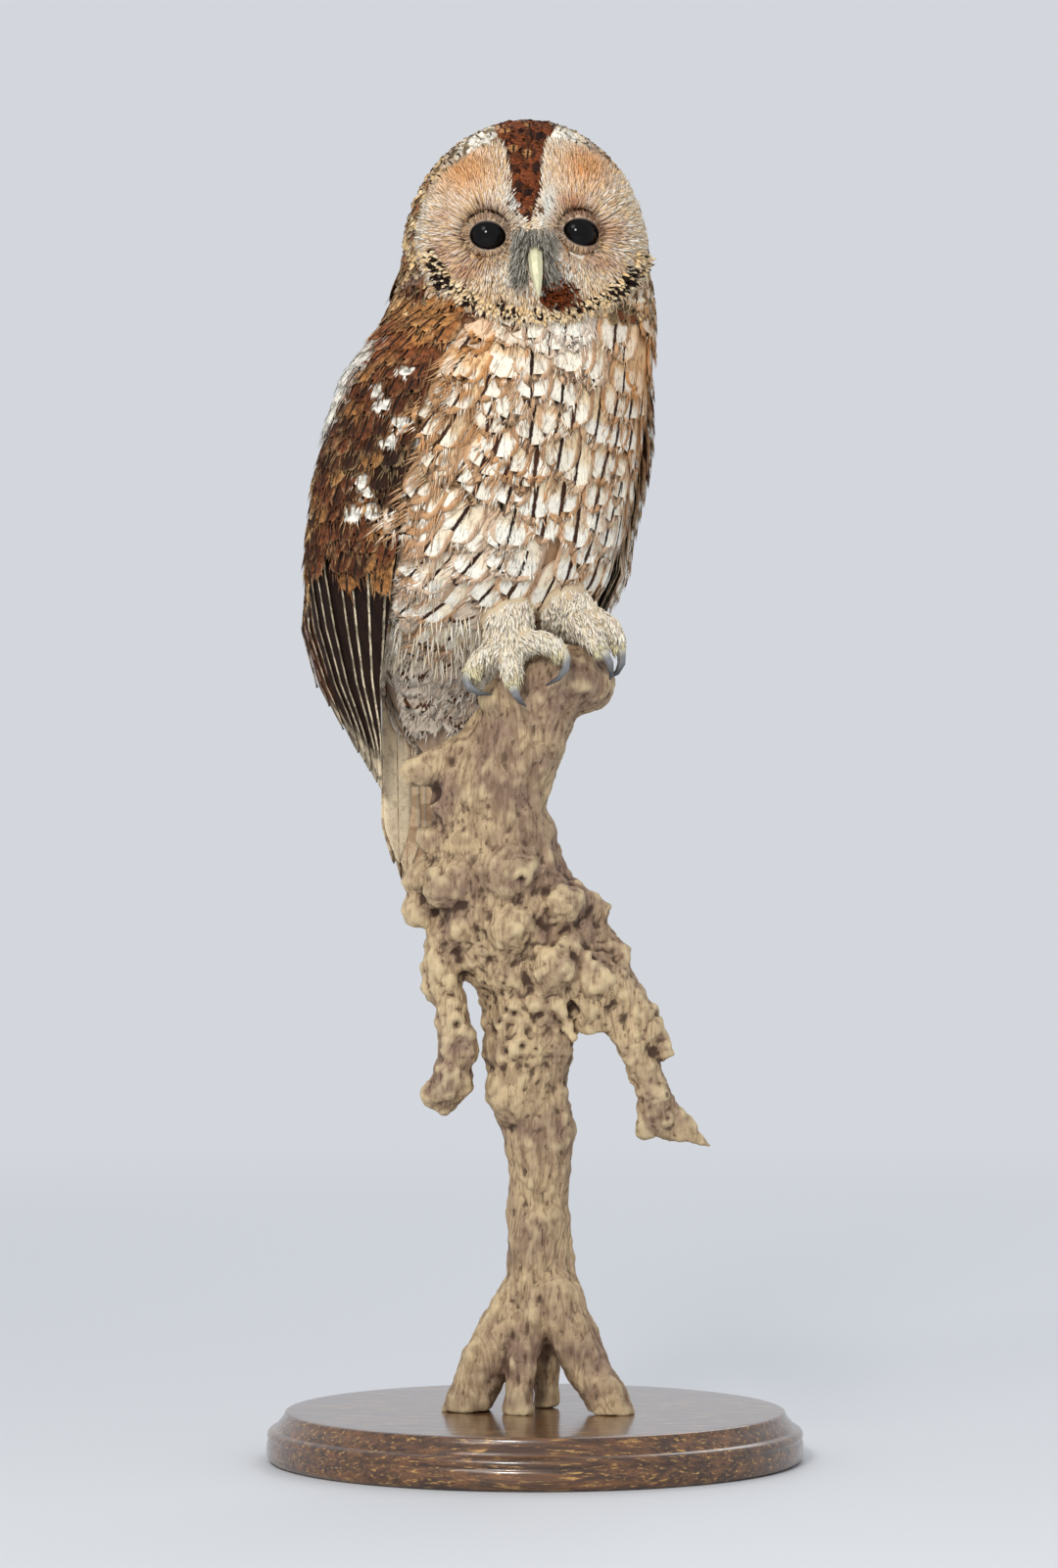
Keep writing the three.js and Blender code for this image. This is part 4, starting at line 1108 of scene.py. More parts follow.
barbPlan = {
    "body": {"each": 34, "from": (0.3, 0.93), "length": 6.0, "splay": 0.3, "width": 0.8, "lift": 0.8},
    "flank": {"each": 40, "from": (0.3, 0.97), "length": 9, "splay": 0.45, "width": 0.7, "lift": 1.2},
    "wing": {"each": 16, "from": (0.35, 0.92), "length": 6, "splay": 0.2, "width": 0.8, "lift": 0.5},
}
wingSides = {side: WingSide(side) for side in sides}
down = np.array([0, 0, -1.0])


# the heights between which the feathers end, their spacing down and across with its unevenness,
# their length and width, and the form of the vane
coat = {
    "breast": {"heights": (0.566, 0.396), "spacing": (16, 14.0, 0.3), "length": 38, "width": 23,
               "form": {"ragged": 0.2}},
    "vent": {"heights": (0.404, 0.3445), "spacing": (9.6, 13, 0.15), "length": 36, "width": 24,
             "form": {"ragged": 0.25, "depth": 4.8, "top": 0.9}},
    "mantle": {"heights": (0.566, 0.43), "spacing": (13, 14, 0.2), "length": 34, "width": 19, "behind": 114,
               "form": {"ragged": 0.2, "top": -1.6}},
    "flank": {"heights": (0.515, 0.398), "spacing": (13, 7, 0.3), "length": 34, "width": 17, "strip": (52, 6),
              "form": {"ragged": 0.3, "top": -2.2}},
    "form": {"columns": 9, "rows": 10, "cup": 0.2, "tilt": 0.25},  # the same for all of them
}


def coatTips(surface, part):
    top, bottom = coat[part]["heights"]
    return rootRows(surface, rowOfHeight(top), rowOfHeight(bottom), *coat[part]["spacing"])


def layCoat(name, part, surface, tips, ways, length, colours, slot, barbs, material=None):
    return layFeathers(name, surface, tips, ways, length, coat[part]["width"], colours, slot,
                       barbs=barbPlan[barbs], material=material, **coat["form"], **coat[part]["form"])


tips = coatTips(bodySurface, "breast")
colours = bodyDress(tips)
length = coat["breast"]["length"] + dice.normal(0, 2, len(tips))
layCoat("body_contour", "breast", bodySurface, tips, bodyWay(tips), length, colours, "body_plumage", "body")

tips = coatTips(bodySurface, "vent")
count = len(tips)
marked = dice.random(count) > 0.55
behind = smoothStep(np.abs(bodyTurn(tips)), 95, 115)
pale = blend(tint["mauve"], tint["white"], dice.random(count) * 0.6)
edging = blend(tint["white"], tint["buff"], behind)
colours = dress(count, ground=blend(pale, tint["rufous"], behind), mark=tint["brown"], rim=edging,
                shaft=0.09 * marked * (1 - behind), edge=0.4, bars=0.5 * behind, speckle=0.6 * behind)
layCoat("vent_feathers", "vent", bodySurface, tips, bodyWay(tips) * [0.3, 1, 1], coat["vent"]["length"],
        colours, "body_plumage", "body", forkPlumage)

tips = coatTips(wingSurface, "mantle")
tips = tips[np.abs(bodyTurn(tips)) > coat["mantle"]["behind"]]
layCoat("mantle", "mantle", wingSurface, tips, bodyWay(tips), coat["mantle"]["length"], bodyDress(tips),
        "covert_feathers", "wing")

tips = coatTips(wingSurface, "flank")
middle, half = coat["flank"]["strip"]
tips = tips[np.abs(bodyTurn(tips) - middle) < half]
layCoat("flank", "flank", wingSurface, tips, bodyWay(tips), coat["flank"]["length"], bodyDress(tips, True),
        "body_plumage", "flank")


def outlineShare(side, z):  # where, from leading to trailing edge, the folded wing turns away from the front
    shares = np.linspace(0, 1, 51)
    across = np.broadcast_to(shares, (len(z), len(shares)))
    ring = wingSides[side].point(np.broadcast_to(z[:, None], across.shape), across)
    return shares[np.argmin(ring[..., 0] * wingSides[side].sign, axis=1)]


def covertDress(p, t, side):  # colour plan of the coverts that end at p and t
    x, z = seen(p)
    count = len(p)
    chance = dice.random(count)
    second = dice.random(count)
    patchy = planNoise(p, 0.011, 8) * 0.5 + 0.5
    ground = blend(tint["rufous"], tint["brown"], smoothStep(patchy, 0.3, 0.8))
    ground = blend(ground, tint["rust"], 0.6 * smoothStep(z, 505, 535))
    darker = blob(x, z, -72, 478, 14, 38) * (chance > 0.3)
    ground = blend(ground, tint["dark"], 0.75 * darker)
    outer = smoothStep(t, 0.4, 0.6)
    third = dice.random(count)
    ground = blend(ground, tint["dark"], 0.55 * (third < 0.28) * smoothStep(-z, -530, -510))
    ground = blend(ground, tint["orange"], 0.45 * (third > 0.8))
    ground = blend(ground, tint["buff"], 0.5 * outer * (chance > 0.6))
    ground = blend(ground, tint["dark"], 0.5 * outer * (chance < 0.3))
    shoulder = blob(x, z, -56, 552, 16, 13)
    ground = blend(ground, tint["orange"], shoulder * 0.8)
    inside = (x + 73) * 0.909 - (z - 557) * 0.415
    band = (1 - smoothStep(inside, -3, -1)) * smoothStep(z, 484, 492) * (1 - smoothStep(z, 536, 544))
    band = band * (side == "right") * (1 - smoothStep(t - outlineShare(side, p[:, 2]), 0.03, 0.1))
    ground = blend(ground, tint["white"], band)
    nearest = np.min([np.hypot(x - a, z - b) for a, b in coverts["spots"]], axis=0)
    if side == "right":
        spots = (nearest < coverts["spotSize"]) * (t < 0.6)
    else:
        spots = (second > 0.84) * (1 - outer) * smoothStep(-z, -532, -520)
    rim = blend(tint["rust"], tint["buff"], chance)
    rim = blend(rim, tint["dark"], band)
    plan = {"ground": ground, "mark": tint["dark"], "rim": rim, "shaft": 0.11 * (spots < 0.5) * (1 - band),
            "bars": 0.3 * (1 - band), "patch": spots * 1.0, "edge": 0.35, "bands": 0.45,
            "speckle": 0.55 - 0.2 * band}
    if side == "left":  # the far wing's leading edge is covered by feathers of the flank
        flank = bodyDress(p)
        shown = (t < 0.34)[:, None]
        made = dress(count, **plan)
        return {key: np.where(shown, flank[key], made[key]) for key in made}
    return dress(count, **plan)


coverts = {
    "top": 0.556,
    "bottom": 0.404,
    "slant": 24,  # how much higher they end in the middle of the wing
    "down": 8.5,
    "across": 10.0,
    "spots": [(-71, 494), (-57, 499), (-62, 522), (-78, 510), (-82, 457), (-86, 465), (-47, 530),
              (-76, 486), (-87, 453)],
    "spotSize": 4.8,
    "shoulder": 0.52,  # above this height they lie on the shoulder, which the wing and the body share
    "length": 27,
    "width": 14,
    "form": {"depth": 3.6, "top": -0.6, "columns": 7, "rows": 10, "cup": 0.6, "tilt": 0.3, "ragged": 0.2},
}
for side in sides:
    surface = wingSides[side]
    found = []
    heights = np.arange(coverts["top"], coverts["bottom"], -coverts["down"] * mm)
    for k, z in enumerate(heights):
        start, chord, _, swell = surface.edges(np.array([z]))
        wide = np.linalg.norm(chord) + 1.1 * swell[0]
        count = max(2, round(wide / (coverts["across"] * mm)))
        t = (np.arange(count) + 0.25 + 0.5 * (k % 2) + dice.normal(0, 0.12, count)) / count
        found.append(np.stack([z + dice.normal(0, 1.2 * mm, count), np.clip(t, 0.02, 1.0)], -1))
    found = np.vstack(found)
    slant = coverts["slant"] * bump(found[:, 1], 0.3, 0.3) + dice.normal(0, 4, len(found))
    ending = coverts["bottom"] + slant * mm
    found = found[found[:, 0] > ending]
    tips = surface.point(found[:, 0], found[:, 1])
    lean = smoothStep(found[:, 0], 0.44, 0.52)[:, None]
    _, chord, _, _ = surface.edges(found[:, 0])
    back = np.concatenate([unit(chord), np.zeros((len(tips), 1))], -1)
    way = down + back * (0.12 + 0.4 * lean)
    colours = covertDress(tips, found[:, 1], side)
    high = found[:, 0] > coverts["shoulder"]
    for part, chosen, face in (("shoulder", high, wingSurface), ("coverts", ~high, surface)):
        picked = {key: values[chosen] for key, values in colours.items()}
        layFeathers(f"{part}_{side}", face, tips[chosen], way[chosen], coverts["length"], coverts["width"],
                    picked, "covert_feathers", barbs=barbPlan["wing"], **coverts["form"])

flight = {
    "count": 13,
    "tips": [(0.0, 340), (0.12, 327), (0.3, 326), (0.5, 339), (0.7, 356), (0.85, 372), (1.0, 388)],
    "start": 0.462,
    "halfWidth": 6.4,
    "layer": 0.45,  # how much higher each feather lies than the one before it
    "lowest": -4.6,  # height of the first one over the wing's face
    "thick": 0.35,
    "rows": 40,
    "columns": 7,
}
for side in sides:
    surface = wingSides[side]
    count = flight["count"]
    share = np.clip(np.linspace(0.02, 0.98, count) + dice.normal(0, 0.012, count), 0.02, 0.98)
    table = np.array(flight["tips"])
    ends = np.interp(share, table[:, 0], table[:, 1]) * mm + dice.normal(0, 1.5 * mm, count)
    tips = surface.point(ends, share)
    outer = smoothStep(share, 0.55, 0.8)
    ground = blend(tint["dark"] * 0.6, tint["rufous"], 0.04 + 0.7 * outer)
    edging = blend(tint["cream"], tint["brown"], 0.75 * dice.random(count) * (share > 0.3))
    colours = dress(count, ground=ground, mark=tint["dark"] * 0.4, rim=edging, shaft=0.07,
                    bars=0.5 + 0.3 * outer, edge=dice.uniform(0.55, 1.0, count), bands=0.9, speckle=0.5)
    rows, columns = flight["rows"], flight["columns"]
    u = np.linspace(-1, 1, columns)
    v = 1 - (1 - np.linspace(0, 1, rows)) ** 1.2
    z = flight["start"] + (ends[:, None] - flight["start"]) * v[None]
    half = outline(v, 0.1, 0.8, 2.0) * flight["halfWidth"] * mm
    _, chord, _, _ = surface.edges(z)
    wide = np.linalg.norm(chord, axis=-1)[..., None]
    place = share[:, None, None] + u[None, None] * half[None, :, None] / wide
    place = np.clip(place, -0.02, 1.02)
    z = np.broadcast_to(z[..., None], place.shape)
    ground = surface.point(z, place)
    _, normal = surface.drop(ground)
    layer = (np.arange(count) * flight["layer"] + dice.normal(0, 0.35, count))[:, None, None]
    rise = flight["lowest"] + layer - 0.55 * u[None, None] - 0.2 * u[None, None] ** 2 + 0 * z
    upper = ground + normal * (rise * mm)[..., None]
    points = np.stack([upper, upper - normal * flight["thick"] * mm], 1).reshape(-1, 3)
    vane = np.stack(np.broadcast_arrays((u[None] + 1) / 2, v[:, None]), -1).reshape(-1, 2)
    vane = np.tile(vane, (2 * count, 1))
    piece = finishFeathers(f"flight_{side}", points, vaneFaces(count, rows, columns), vane, tips, colours,
                           2 * rows * columns, 0.02, quillPlumage)
    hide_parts(f"wing_{side}_flight")

tailPlan = {
    "count": 11,
    "start": 0.388,
    "tips": [(-1, 292), (-0.6, 277), (0, 268), (0.6, 275), (1, 290)],
    "middle": 3.4,
    "half": 23.2,
    "width": 17,
    "form": {"depth": 0.4, "top": -1.6, "columns": 7, "rows": 30, "cup": 0.5, "tilt": 1.0, "ragged": 0.02},
    "outline": {"narrow": 0.05, "roundFrom": 0.8},
}
share = np.linspace(-1, 1, tailPlan["count"])
table = np.array(tailPlan["tips"])
ends = np.interp(share, table[:, 0], table[:, 1]) * mm
for sign, name in ((1, "tail_under"), (-1, "tail_upper")):
    surface = TailSide(sign)
    middle = planPoint(tailPlan["middle"] + share * tailPlan["half"], np.full(len(share), -45.0))
    tips = np.concatenate([middle, ends[:, None]], -1)
    count = len(tips)
    paleEdge = smoothStep(np.abs(share), 0.75, 0.95)[:, None]
    ground = blend(tint["mauve"], tint["buff"], 0.4) if sign > 0 else tint["rufous"]
    paleEdge = paleEdge * (sign > 0)
    ground = ground * (1 - paleEdge) + tint["cream"] * paleEdge
    mark, shaft = (tint["brown"] * 2.2, 0.025) if sign > 0 else (tint["brown"], 0.05)
    colours = dress(count, ground=ground, mark=mark, rim=tint["cream"], shaft=shaft,
                    bars=0.4 - 0.3 * paleEdge[:, 0], edge=0.8, bands=0.55, speckle=0.3)
    length = (tailPlan["start"] - ends) / mm
    piece = layFeathers(name, surface, tips, np.tile(down, (count, 1)), length, tailPlan["width"], colours,
                        "tail_feathers", shape=tailPlan["outline"], patchSize=0.02, **tailPlan["form"])
    if sign > 0:
        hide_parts("tail")

undertail = {"count": 46, "sides": (-24, 30), "heights": (336, 382), "middle": 3, "length": 34, "width": 20,
             "form": {"depth": 1.0, "top": -4.5, "ragged": 0.25}}
count = undertail["count"]
place = dice.uniform(*undertail["sides"], count)
height = dice.uniform(*undertail["heights"], count)
narrow = smoothStep(height, 330, 372) * 0.5 + 0.5
aside = undertail["middle"] + (place - undertail["middle"]) * narrow
tips = np.concatenate([planPoint(aside, np.full(count, -45.0)), height[:, None] * mm], -1)
pale = blend(tint["mauve"], tint["white"], dice.random(count) * 0.6)
marked = dice.random(count) > 0.5
colours = dress(count, ground=pale, mark=tint["brown"], rim=tint["white"], shaft=0.09 * marked, edge=0.4)
ways = down + dice.normal(0, 0.12, (count, 3))
layFeathers("undertail", TailSide(1), tips, ways, undertail["length"], undertail["width"], colours,
            "body_plumage", barbs=barbPlan["body"], material=forkPlumage, **coat["form"], **undertail["form"])


headPoints, headFaces = joinedArrays(["head", "neck", "trunk"])
headTree = BVHTree.FromPolygons(headPoints.tolist(), headFaces.tolist())


def firstHit(a, b):  # the front of the head at a across and b up; rays that pass beside it are drawn inwards
    for pull in (1.0, 0.96, 0.92, 0.88, 0.8, 0.7, 0.6):
        for lift in (0, 1):  # the second try clears the narrow gap between two nodes
            start = Vector((a * mm * pull, -0.3, (b + lift) * mm))
            place, facing, _, _ = headTree.ray_cast(start, Vector((0, 1, 0)))
            if place:
                return [*place, *facing]


def frontCast(x, z):  # points and normals of the front of the head at x and z in millimetres
    found = np.array([firstHit(a, b) for a, b in zip(x, z)])
    return found[:, :3], found[:, 3:]


# height, middle and half width of the dark stripe over the forehead and crown
crownStripe = {"rows": [(560, 0, 1), (597, -2.5, 2), (609, -3.5, 7.5), (625, -4.5, 9.5), (645, -5, 13),
                        (656, -4, 14)]}
stripeTable = np.array(crownStripe["rows"], float)


def stripeReach(x, z):  # below 1 on the dark stripe up the forehead
    middle = np.interp(z, stripeTable[:, 0], stripeTable[:, 1])
    half = np.interp(z, stripeTable[:, 0], stripeTable[:, 2])
    return np.abs(x - middle) / half


def headTone(p, chance):  # ground colour of the head's feathers at the points p
    x, z = seen(p)
    y = p[:, 1] / mm
    patchy = planNoise(p, 0.006, 2) * 0.5 + 0.5
    tone = blend(tint["buff"], tint["rufous"], smoothStep(patchy + 0.5 * (chance - 0.5), 0.35, 0.7))
    tone = blend(tone, tint["cream"], 0.5 * (chance > 0.75))
    tone = blend(tone, tint["dark"], 0.8 * (chance < 0.2))
    stripe = 1 - smoothStep(stripeReach(x, z), 0.85, 1.25)
    stripe = stripe * (1 - smoothStep(y, 2, 22) * 0.9)
    deep = smoothStep(chance + 0.5 * (patchy - 0.5), 0.25, 0.75) * 0.95
    dark = blend(paint(134, 70, 38), paint(44, 24, 18), deep)
    dark = blend(dark, paint(196, 140, 88), 0.8 * (chance > 0.93 - 0.25 * smoothStep(z, 640, 654)))
    pale = np.clip(patches(x, z, headMarks["pale"]) * 1.3, 0, 1) * (1 - smoothStep(y, -20, -4))
    tone = blend(tone, tint["white"], pale * np.where(chance > 0.15, 0.95, 0.1))
    return blend(tone, dark, stripe)


def faceTone(p, chance):
    x, z = seen(p)
    count = len(p)
    tone = blend(paint(243, 214, 172), paint(255, 250, 238), smoothStep(chance, 0.3, 0.75) * 0.85)
    orange = patches(x, z, headMarks["orange"])
    tone = blend(tone, paint(236, 168, 100), np.clip(orange * 1.1, 0, 1) * (0.55 + 0.45 * chance))
    rusty = patches(x, z, headMarks["rusty"])
    tone = blend(tone, paint(190, 112, 62), np.clip(rusty * (0.4 + 0.8 * chance), 0, 0.9))
    lower = np.clip(patches(x, z, headMarks["lower"]), 0, 1)
    tone = blend(tone, paint(228, 188, 136), lower * chance * 0.8)
    tone = blend(tone, paint(240, 238, 228), np.clip(patches(x, z, headMarks["brow"]), 0, 1))
    for side in sides:
        away = np.hypot(x - eyeCentres[side][0] / mm, z - eyeCentres[side][2] / mm)
        tone = blend(tone, paint(176, 126, 86), (1 - smoothStep(away, 9.5, 14)) * (0.15 + 0.55 * chance))
    streak = (dice.random(count) < 0.14) * smoothStep(discReach(p), 0.3, 0.6)
    return blend(tone, paint(160, 112, 72), 0.45 * streak)


contourWays = {"back": 1.0, "fall": -0.55, "forehead": 1.5}
headCoat = {
    "lowest": 0.552,
    "spacing": (4.3, 4.7, 0.3),
    "length": 10,
    "width": 6.4,
    "form": {"depth": 3.4, "top": 0.2, "columns": 5, "rows": 5, "cup": 0.4, "tilt": 0.35, "ragged": 0.45,
             "thick": 0.25},
}


def headWay(p, facing):
    front = np.clip(-facing[:, 1], 0, 1) * smoothStep(p[:, 2], 0.598, 0.612)
    base = np.array([0, contourWays["back"], contourWays["fall"]])
    fall = smoothStep(-p[:, 2], -0.63, -0.58)[:, None]
    return base + front[:, None] * np.array([0, 0, contourWays["forehead"]]) + fall * np.array([0, 0, -0.8])


tips = rootRows(bodySurface, 1.0, rowOfHeight(headCoat["lowest"]), *headCoat["spacing"])
_, facing = bodySurface.drop(tips)
x, z = seen(tips)
inFront = tips[:, 1] < -0.012
onDisc = inFront & (discReach(tips) < 1.0) & (stripeReach(x, z) > 1.15)
belowStripe = inFront & (z < 602) & (discReach(tips) < 1.0)
keep = ~(onDisc | belowStripe)
tips, facing = tips[keep], facing[keep]
chance = dice.random(len(tips))
x, z = seen(tips)
stripe = 1 - smoothStep(stripeReach(x, z), 0.85, 1.25)
rimTone = blend(tint["buff"], paint(150, 84, 46), stripe)
colours = dress(len(tips), ground=headTone(tips, chance), mark=tint["dark"], rim=rimTone,
                shaft=0.14 * (chance > 0.5), bars=0.15 + 0.3 * stripe, edge=0.35 + 0.1 * stripe, bands=0.5,
                speckle=0.4 + 0.4 * stripe, light=dice.random(len(tips)))
length = headCoat["length"] + dice.normal(0, 1, len(tips))
layFeathers("head_contour", bodySurface, tips, headWay(tips, facing), length, headCoat["width"], colours,
            "face_plumage", **headCoat["form"])

disc = {"count": 7900, "azimuth": 66, "length": (5.0, 8.5), "width": 1.1, "sink": 2.6}
turn = bodyFrame["faceAzimuth"] + dice.uniform(-disc["azimuth"], disc["azimuth"], disc["count"] * 2)
row = dice.uniform(14, rowOfHeight(0.553), disc["count"] * 2)
spots = bodySurface.at(turn, row)
x, z = seen(spots)
crownZone = (stripeReach(x, z) < 1.05) & (z > 600)
keep = (discReach(spots) < 1.03) & ~crownZone & (spots[:, 1] < -0.005)
spots = spots[keep]
_, facing = bodySurface.drop(spots)
ways = np.zeros_like(spots)
for side in sides:
    away = spots - eyeCentres[side]
    far = np.linalg.norm(away, axis=1)
    ways += unit(away) * np.exp(-far / 0.009)[:, None]
    clear = far > 0.0112
    spots, facing, ways = spots[clear], facing[clear], ways[clear]
x, z = seen(spots)
under = (blob(x, z, 0, 578, 9, 14))[:, None] * 0.6
ways = unit(ways) * (1 - under) + under * np.array([0, 0, -1.0])
ways = unit(ways - facing * np.sum(ways * facing, -1, keepdims=True))
ways = unit(ways + dice.normal(0, 0.1, ways.shape))
chance = dice.random(len(spots))
colours = dress(len(spots), ground=faceTone(spots, chance))
reach = discReach(spots)
size = disc["length"][0] + (disc["length"][1] - disc["length"][0]) * smoothStep(reach, 0.2, 0.9)
layBlades("face_feathers", spots - facing * disc["sink"] * mm, ways, facing, size, disc["width"], colours,
          "face_plumage", bend=0.3)


def tufts(name, spots, facing, ways, ground, length, width, slot="face_plumage", sink=1.5, **more):
    # blades of one plain colour each
    colours = dress(len(spots), ground=ground)
    return layBlades(name, spots - facing * sink * mm, ways, facing, length, width, colours, slot, **more)


# the ruff below the disc, on an oval a little smaller than the disc
rim = {"count": 620, "from": -166, "to": -14, "reach": (0.95, 1.1), "half": 52, "below": 38}
angle = np.radians(dice.uniform(rim["from"], rim["to"], rim["count"]))
reach = dice.uniform(*rim["reach"], rim["count"])
x = facePlan["middle"][0] + rim["half"] * reach * np.cos(angle)
z = facePlan["middle"][1] + rim["below"] * reach * np.sin(angle)
spots, facing = frontCast(x, z)
dark = patches(x, z, headMarks["ruff"])
chance = dice.random(rim["count"])
tone = blend(tint["cream"], tint["buff"], dice.random(rim["count"]))
tone = blend(tone, tint["dark"], (chance < 0.22 + 0.6 * dark) * 1.0)
ways = np.stack([np.cos(angle), -0.4 + 0 * angle, np.sin(angle)], -1)
ways = ways + dice.normal(0, 0.25, (rim["count"], 3))
tufts("disc_rim", spots, facing, ways, tone, 5.5, 2.4, bend=0.35)

bristles = {"count": 760, "length": (6, 11)}
z = dice.uniform(573, 599, bristles["count"])
innermost = 3.6 * (1 - smoothStep(z, 586, 591))
x = dice.uniform(innermost, 10.5) * np.where(dice.random(bristles["count"]) < 0.5, -1, 1)
spots, facing = frontCast(x, z)
chance = dice.random(bristles["count"])
tone = blend(paint(96, 88, 78), paint(222, 216, 202), chance**1.1)
ways = np.stack([x * 0.04, -0.75 - 0.3 * (z > 587), -1 + 0 * x], -1)
ways = ways + dice.normal(0, 0.14, (bristles["count"], 3))
size = dice.uniform(*bristles["length"], bristles["count"])
tufts("bill_bristles", spots, facing, ways, tone, size, 0.6, bend=0.1)

chinTuft = {"count": 190, "place": (9.8, 567.2), "size": (4.2, 3.2)}
x = chinTuft["place"][0] + dice.normal(0, chinTuft["size"][0], chinTuft["count"])
z = chinTuft["place"][1] + dice.normal(0, chinTuft["size"][1], chinTuft["count"])
spots, facing = frontCast(x, z)
tone = blend(paint(150, 76, 36), paint(84, 42, 26), dice.random(chinTuft["count"]))
ways = np.array([0.25, -0.9, -0.6]) + dice.normal(0, 0.3, (chinTuft["count"], 3))
tufts("chin_tuft", spots, facing, ways, tone, 7.5, 1.3, bend=0.2, sink=0.6)

fringe = {"count": 900, "heights": (0.39, 0.412), "length": (8, 15)}
turn = dice.uniform(0, 360, fringe["count"])
spots = bodySurface.at(turn, rowOfHeight(dice.uniform(*fringe["heights"], fringe["count"])))
_, facing = bodySurface.drop(spots)
tone = blend(tint["white"], tint["cream"], dice.random(fringe["count"]))
tone = blend(tone, tint["rufous"], smoothStep(np.abs(bodyTurn(spots)), 95, 115))
ways = np.array([-0.12, 0, -1.0]) + dice.normal(0, 0.16, (fringe["count"], 3))
size = dice.uniform(*fringe["length"], fringe["count"])
tufts("belly_fringe", spots, facing, ways, tone, size, 0.8, "body_plumage", 2.0, bend=0.12)


def lidPoint(side, angle, share):  # on the lid: angle round the opening, share 0 at the opening and 1 outside
    sign = -1 if side == "right" else 1
    gaze = unit(np.array([0.16 * sign + 0.05, -1.0, 0.02]))
    rightward = unit(np.cross(gaze, [0, 0, 1.0]))
    upward = np.cross(rightward, gaze)
    wide, tall, aside, above, slope = eyes["opening"][side]
    x = np.cos(angle) * wide
    inner = np.stack([x + aside, np.sin(angle) * tall + above + slope * x], -1)
    outer = np.stack([np.cos(angle), np.sin(angle)], -1) * 1.14 * eyes["radius"]
    flat = inner * (1 - share[..., None]) + outer * share[..., None]
    size = np.linalg.norm(flat, axis=-1)
    rise = eyes["radius"] + 0.15 + np.sin(np.clip(share * 2.6, 0, 1) * np.pi * 0.5) * eyes["lid"]
    depth = np.sqrt(np.clip(rise**2 - np.minimum(size, rise * 0.98) ** 2, 0, None))
    depth = depth - 2.0 * smoothStep(share, 0.5, 1)
    place = rightward * flat[..., :1] + upward * flat[..., 1:] + gaze * depth[..., None]
    return eyeCentres[side] + place * mm, gaze


lidColumns, lidRows = eyes["columns"], eyes["rows"]
for side in sides:  # thin shells over each globe, open in the middle, with a bare dark rim and small feathers
    angle, share = np.meshgrid(np.arange(lidColumns) / lidColumns * 2 * np.pi, np.linspace(0, 1, lidRows))
    shell, gaze = lidPoint(side, angle, share)
    sheet = lidRows * lidColumns
    points = np.vstack([shell.reshape(-1, 3), (shell - gaze * 1.2 * mm).reshape(-1, 3)])
    k = np.arange(lidColumns)
    n = (k + 1) % lidColumns
    faces = []
    for i in range(lidRows - 1):
        low = i * lidColumns
        high = low + lidColumns
        faces += [np.stack([low + k, low + n, high + n, high + k], -1)]
        faces += [np.stack([low + k, high + k, high + n, low + n], -1) + sheet]
    last = sheet - lidColumns
    faces += [np.stack([k, k + sheet, n + sheet, n], -1),
              np.stack([k + last, n + last, n + last + sheet, k + last + sheet], -1)]
    lid = meshFromArrays(f"lid_{side}", points, np.vstack(faces), lidSkin)
    bare = 1 - smoothStep(np.tile(share.ravel(), 2), eyes["rimShare"], eyes["rimShare"] + 0.2)
    chance = dice.random(len(points))
    setColour(lid, "ground", blend(faceTone(points, chance) * 0.8, paint(34, 24, 22), bare))
    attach(lid, "root")
    angle = dice.uniform(0, 2 * np.pi, eyes["feathers"])
    share = dice.uniform(eyes["rimShare"], 1.0, eyes["feathers"])
    spots, _ = lidPoint(side, angle, share)
    ahead, _ = lidPoint(side, angle, share + 0.06)
    facing = unit(spots - eyeCentres[side])
    chance = dice.random(len(spots))
    tone = faceTone(spots, chance)
    near = 1 - smoothStep(share, 0.15, 0.55)
    tone = blend(tone, paint(96, 66, 48), near * (0.15 + 0.55 * chance))
    high = smoothStep(np.sin(angle - 0.3), 0.1, 0.8) * (0.75 if side == "left" else 0.35)
    tone = blend(tone, paint(104, 64, 44), high * (chance < 0.6))
    ways = unit(ahead - spots) + dice.normal(0, 0.15, spots.shape)
    size = dice.uniform(3, 5, len(spots))
    tufts(f"lid_feathers_{side}", spots, facing, ways, tone, size, 0.9, sink=0.25, bend=0.12)


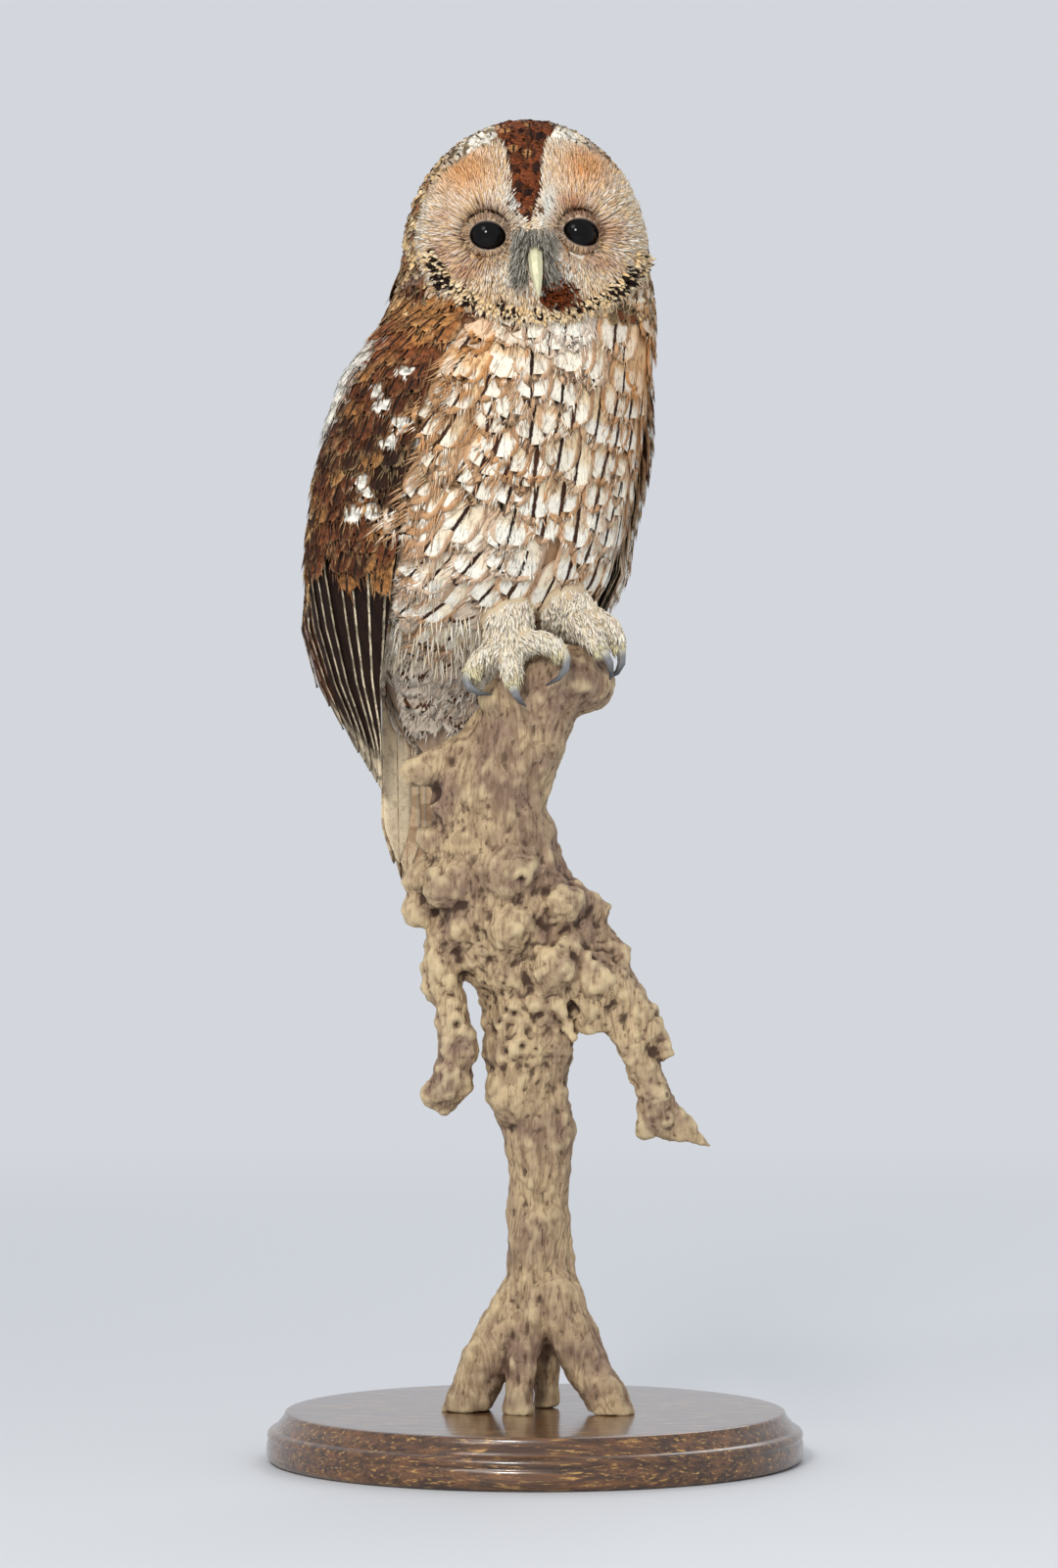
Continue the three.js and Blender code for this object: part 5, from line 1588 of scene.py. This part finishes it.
feet = {"spacing": 1.25, "length": (4.2, 6.2), "width": 1.25, "sink": 1.3}
footSpots = []
footWays = []
footFacing = []
footFar = []
for name in [*toeNames, *legNames]:
    points, faces = arraysOf(nodes[name])
    a, b, c = [points[faces[:, k]] for k in range(3)]
    area = np.linalg.norm(np.cross(b - a, c - a), axis=1) / 2
    count = int(area.sum() / (feet["spacing"] * mm * feet["spacing"] * mm))
    pick = dice.choice(len(faces), count, p=area / area.sum())
    r, s = np.sqrt(dice.random(count)), dice.random(count)
    spot = a[pick] * (1 - r)[:, None] + b[pick] * (r * (1 - s))[:, None] + c[pick] * (r * s)[:, None]
    facing = unit(np.cross(b - a, c - a))[pick]
    if name in toeNames:
        low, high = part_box(name.replace("toe", "claw"))
        goal = (np.array(low) + np.array(high)) / 2
    else:
        goal = np.array(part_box(name)).mean(0) + [0, -0.005, -0.03]
    footSpots.append(spot)
    footFacing.append(facing)
    footWays.append(unit(goal - spot))
    footFar.append(np.linalg.norm(goal - spot, axis=1))
spots, facing, ways = np.vstack(footSpots), np.vstack(footFacing), np.vstack(footWays)
chance = dice.random(len(spots))
ground = blend(paint(238, 222, 192), paint(255, 250, 236), chance)
ground = blend(ground, tint["rust"], 0.35 * (chance > 0.9) * smoothStep(spots[:, 2], 0.395, 0.41))
isToe = [1.0] * len(toeNames) + [0.0] * len(legNames)
ending = np.concatenate([np.full(len(way), share) for way, share in zip(footWays, isToe)])
toTip = np.concatenate(footFar)
ground = blend(ground, paint(204, 192, 130), 0.55 * ending * (1 - smoothStep(toTip, 0.008, 0.013)))
colours = dress(len(spots), ground=ground)
ways = ways + dice.normal(0, 0.2, ways.shape)
size = dice.uniform(*feet["length"], len(spots))
layBlades("foot_feathers", spots - facing * feet["sink"] * mm, ways, facing, size, feet["width"], colours,
          "foot_feathers", bend=0.38, rings=2)

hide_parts(*flesh)
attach(skin, "root")
points, _ = pointsOf(skin)
x, z = seen(points)
tone = tint["down"]
chance = np.full(len(points), 0.5)
inFront = 1 - smoothStep(np.abs(bodyTurn(points)), 95, 115)
tone = blend(tone, tint["mauve"] * 0.8, smoothStep(-z, -405, -395) * inFront)
tone = blend(tone, headTone(points, chance), smoothStep(z, 556, 566))
face = smoothStep(-discReach(points), -1.05, -0.95) * (points[:, 1] < -0.01) * smoothStep(z, 556, 566)
tone = blend(tone, faceTone(points, chance) * 0.8, face)
tone = blend(tone, paint(216, 196, 162), footNear(points, 4))
setColour(skin, "ground", tone)
shade = Shader("skin", Roughness=0.8)
skin.data.materials.append(shade.finish(shade.attribute("ground")))
